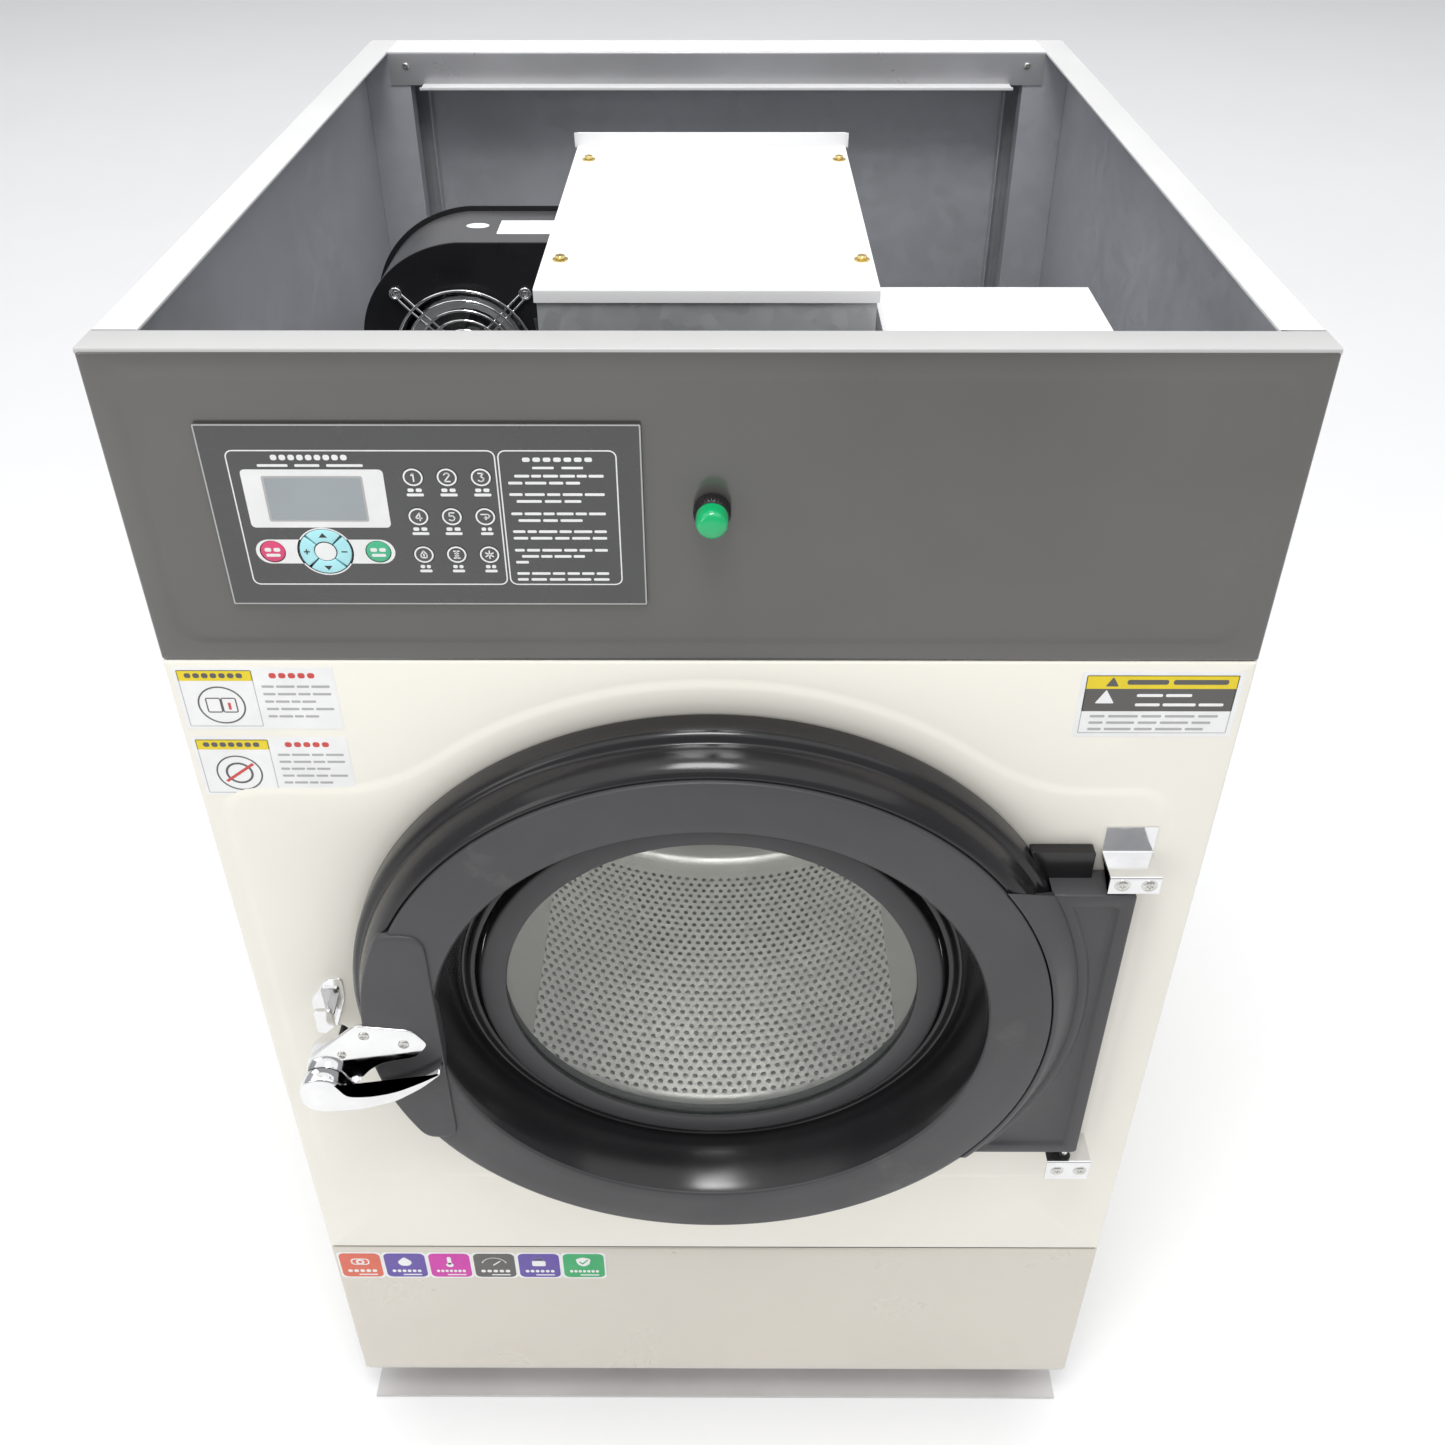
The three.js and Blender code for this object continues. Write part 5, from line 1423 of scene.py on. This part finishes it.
x0, x1, z0, z1 = 308, 442, 1142, 1212
stick.put("pale", rounded_rect(x0, x1, z0, z1, 1))
stick.put("yellow", rounded_rect(x0 + 4, x1 - 4, z1 - 18, z1 - 4, 0.6), 1)
stick.put("dark", rounded_rect(x0 + 4, x1 - 4, z1 - 42, z1 - 18, 0.4), 1)
stick.frame("grey", x0 + 4, x1 - 4, z0 + 4, z1 - 4, 0.8, 0.7, 1)
for cx, cz, size, colour in ((x0 + 26, z1 - 11, 5.5, "dark"), (x0 + 22, z1 - 27, 8, "pale")):
    stick.put(
        colour,
        rounded([(cx - size, cz - size * 0.8), (cx + size, cz - size * 0.8), (cx, cz + size)], 1.2), 2
    )
stick.text_bars("dark", x0 + 38, x1 - 12, z1 - 11, 5, [3, 4], 2)
stick.text_bars("pale", x0 + 48, x1 - 40, z1 - 25, 3, [3, 3], 2)
stick.text_bars("pale", x0 + 48, x1 - 12, z1 - 35, 3, [3, 4, 3], 2)
for k in range(3):
    stick.text_bars("grey", x0 + 12, x1 - 14 - 5 * k, z1 - 47.5 - 7 * k, 2.6, [1.5, 3, 2, 3, 2], 1)
TILES = ("orange", "purple", "magenta", "dark", "purple", "green")
for i, colour in enumerate(TILES):
    x0 = -445 + 53 * i
    x1, z0, z1 = x0 + 50.5, 291, 343
    cx, cz = x0 + 25, z0 + 33
    stick.put("pale", rounded_rect(x0 - 1.2, x1 + 1.2, z0 - 1.5, z1 + 1.5, 6))
    stick.put(colour, rounded_rect(x0 + 1, x1 - 1, z0 + 1, z1 - 1, 7), 1)
    stick.text_bars("pale", x0 + 8, x1 - 8, z0 + 14, 5.5, [1] * (5 + i % 3), 2)
    stick.text_bars("pale", x0 + 20, x1 - 8, z0 + 6, 2.2, [2], 2)
    if i == 0:
        stick.frame("pale", cx - 11, cx + 11, cz - 6, cz + 7, 5, 1.8, 2)
        stick.ring("pale", cx, cz, 5, 2.6, 2)
    elif i == 1:
        stick.put(
            "pale",
            rounded([(cx - 9, cz), (cx, cz + 11), (cx + 9, cz), (cx + 5, cz - 8), (cx - 5, cz - 8)], 4),
            2
        )
    elif i == 2:
        stick.put("pale", rounded_rect(cx - 2.4, cx + 2.4, cz - 5, cz + 11, 2.3), 2)
        stick.put("pale", circle(cx, cz - 6, 4.4, 24), 2)
    elif i == 3:
        stick.line("pale", arc(cx, cz - 6, 15, 20, 160, 16), 1.8, 2)
        stick.line("pale", [(cx - 1, cz - 6), (cx + 7, cz + 2)], 1.8, 2)
    elif i == 4:
        stick.put("pale", rounded_rect(cx - 8, cx + 8, cz - 8, cz + 3, 2), 2)
        stick.line("pale", arc(cx, cz + 3, 5, 0, 180, 12), 2.0, 2)
    else:
        shield = rounded(
            [
                (cx - 9, cz + 7), (cx, cz + 11), (cx + 9, cz + 7), (cx + 7, cz - 4), (cx, cz - 9),
                (cx - 7, cz - 4)
            ],
            3
        )
        stick.put("pale", shield, 2)
        stick.line("green", [(cx - 4, cz + 1), (cx - 1, cz - 3), (cx + 5, cz + 5)], 1.8, 3)
stick.done()

# blank plates on the fan case
bm = bmesh.new()
band_z = BLOWER[1] + 110.4
prism(bm, rounded_rect(-204, MOUTH_X - 2, -125, -88, 1), band_z, band_z + 0.3, "XY")
oval = [(-225 + 11 * math.cos(math.pi * k / 16), -102 + 7 * math.sin(math.pi * k / 16)) for k in range(32)]
prism(bm, oval, band_z - 1.6, band_z + 0.1, "XY")
piece("fan_labels", bm, INKS["pale"], slot="white_paint")

# ---------------------------------------------------------------- rear details
# The louvres, the service cover and the collar's flange lie inside the rear sheet, so they do not show.

LOUVRE_Y = BACK - 2.1
bm = bmesh.new()
for column in (-250, 0, 250):
    for row in range(7):
        z = 940 + 26 * row
        verts = []
        for k in range(9):
            t = k / 8
            bulge = math.sin(math.pi * min(max((t - 0.04) / 0.92, 0), 1)) ** 0.5 * 4.6
            x = column - 80 + 160 * t
            verts.append([
                bm.verts.new((x, LOUVRE_Y + bulge * share, z + rise))
                for share, rise in ((0, 7), (0.43, 3), (0.45, -4), (0, -4.2))
            ])
        for a, b in zip(verts, verts[1:]):
            for i in range(4):
                j = (i + 1) % 4
                bm.faces.new((a[i], a[j], b[j], b[i]))
piece("rear_louvres", bm, cream, slot="cream_paint", angle=60)
bm = bmesh.new()
rows = []
for inset, y in (
    (0, BACK - 2.0), (0, BACK - 0.7), (0.8, BACK - 0.1), (14, BACK - 0.05), (16, BACK - 0.5)
):
    rows.append([(u, y, v) for u, v in rounded_rect(60 + inset, 390 - inset, 150 + inset, 520 - inset, 6)])
loft(bm, rows, start_cap=True, end_cap=True)
piece("rear_service_cover", bm, cream, slot="cream_paint", angle=50)
bm = bmesh.new()
spun(bm, [(78, BACK - 1.9), (96, BACK - 1.9), (96, BACK - 0.6), (94, BACK - 0.1), (80, BACK - 0.1), (78,
    BACK - 1)],
     (SPIGOT_X, SPIGOT_Z), "Y", 96)
spun(bm, [(72.2, BACK + 1), (75, BACK + 1), (75, BACK + 60), (74.6, BACK + 64), (74.8, BACK + 70), (75,
    BACK + 79.4),
          (74.4, BACK + 80), (72.8, BACK + 80), (72.2, BACK + 79)], (SPIGOT_X, SPIGOT_Z), "Y", 96)
piece("exhaust_collar", bm, zinc_duct, slot="galvanised", angle=50)

# ---------------------------------------------------------------- setting

FLOOR_HALF = 30
FLOOR_DROP = -0.0005
floor = bmesh.new()
for x, y in ((-1, -1), (1, -1), (1, 1), (-1, 1)):
    floor.verts.new((x * FLOOR_HALF, y * FLOOR_HALF, FLOOR_DROP))
floor.faces.new(floor.verts)
floor_mesh = bpy.data.meshes.new("floor")
floor.to_mesh(floor_mesh)
floor.free()
floor_mesh.materials.append(surface("pale_floor", (0.93, 0.93, 0.925), 0.6, mottle=(1.0, 0.01),
                                    grain=(200.0, 0.02)))
floor_object = bpy.data.objects.new("floor", floor_mesh)
bpy.context.scene.collection.objects.link(floor_object)


def soft_light(name, place, target, size, energy, colour=(1, 1, 1)):
    lamp = bpy.data.lights.new(name, "AREA")
    lamp.shape = "RECTANGLE"
    lamp.size, lamp.size_y = size
    lamp.energy = energy
    lamp.color = colour
    holder = bpy.data.objects.new(name, lamp)
    holder.location = place
    holder.rotation_euler = (Vector(target) - Vector(place)).to_track_quat("-Z", "Y").to_euler()
    bpy.context.scene.collection.objects.link(holder)


soft_light("ceiling", (0.0, 1.0, 6.0), (0, 1.0, 0), (14, 14), 560)
soft_light("overhead", (-0.1, -1.25, 3.6), (0, -0.4, 0.8), (0.8, 0.8), 34)
soft_light("front_left", (-2.4, -3.0, 2.0), (0, -0.4, 0.8), (1.2, 1.8), 14)
soft_light("drum_glow", (0.0, -0.08, 1.08), (0, -0.22, 0.5), (0.34, 0.2), 2.7)

world = bpy.data.worlds.new("soft_room")
world.use_nodes = True
world.node_tree.nodes["Background"].inputs["Color"].default_value = (0.95, 0.96, 1.0, 1)
world.node_tree.nodes["Background"].inputs["Strength"].default_value = 0.47
bpy.context.scene.world = world
bpy.context.scene.view_settings.view_transform = "Standard"

camera_data = bpy.data.cameras.new("camera")
camera_data.lens = 33.592
camera_data.sensor_width = 36.0
camera_data.shift_y = -0.11246
camera = bpy.data.objects.new("camera", camera_data)
camera.location = (0.0141, -1.3583, 1.8990)
PITCH = math.radians(33.33)
YAW = -0.0038
ROLL = -0.0009
camera.rotation_euler = (
    Matrix.Rotation(-YAW, 3, "Z") @ Matrix.Rotation(math.pi / 2 - PITCH, 3, "X") @ Matrix.Rotation(ROLL,
        3, "Z")
).to_euler()
bpy.context.scene.collection.objects.link(camera)
bpy.context.scene.camera = camera
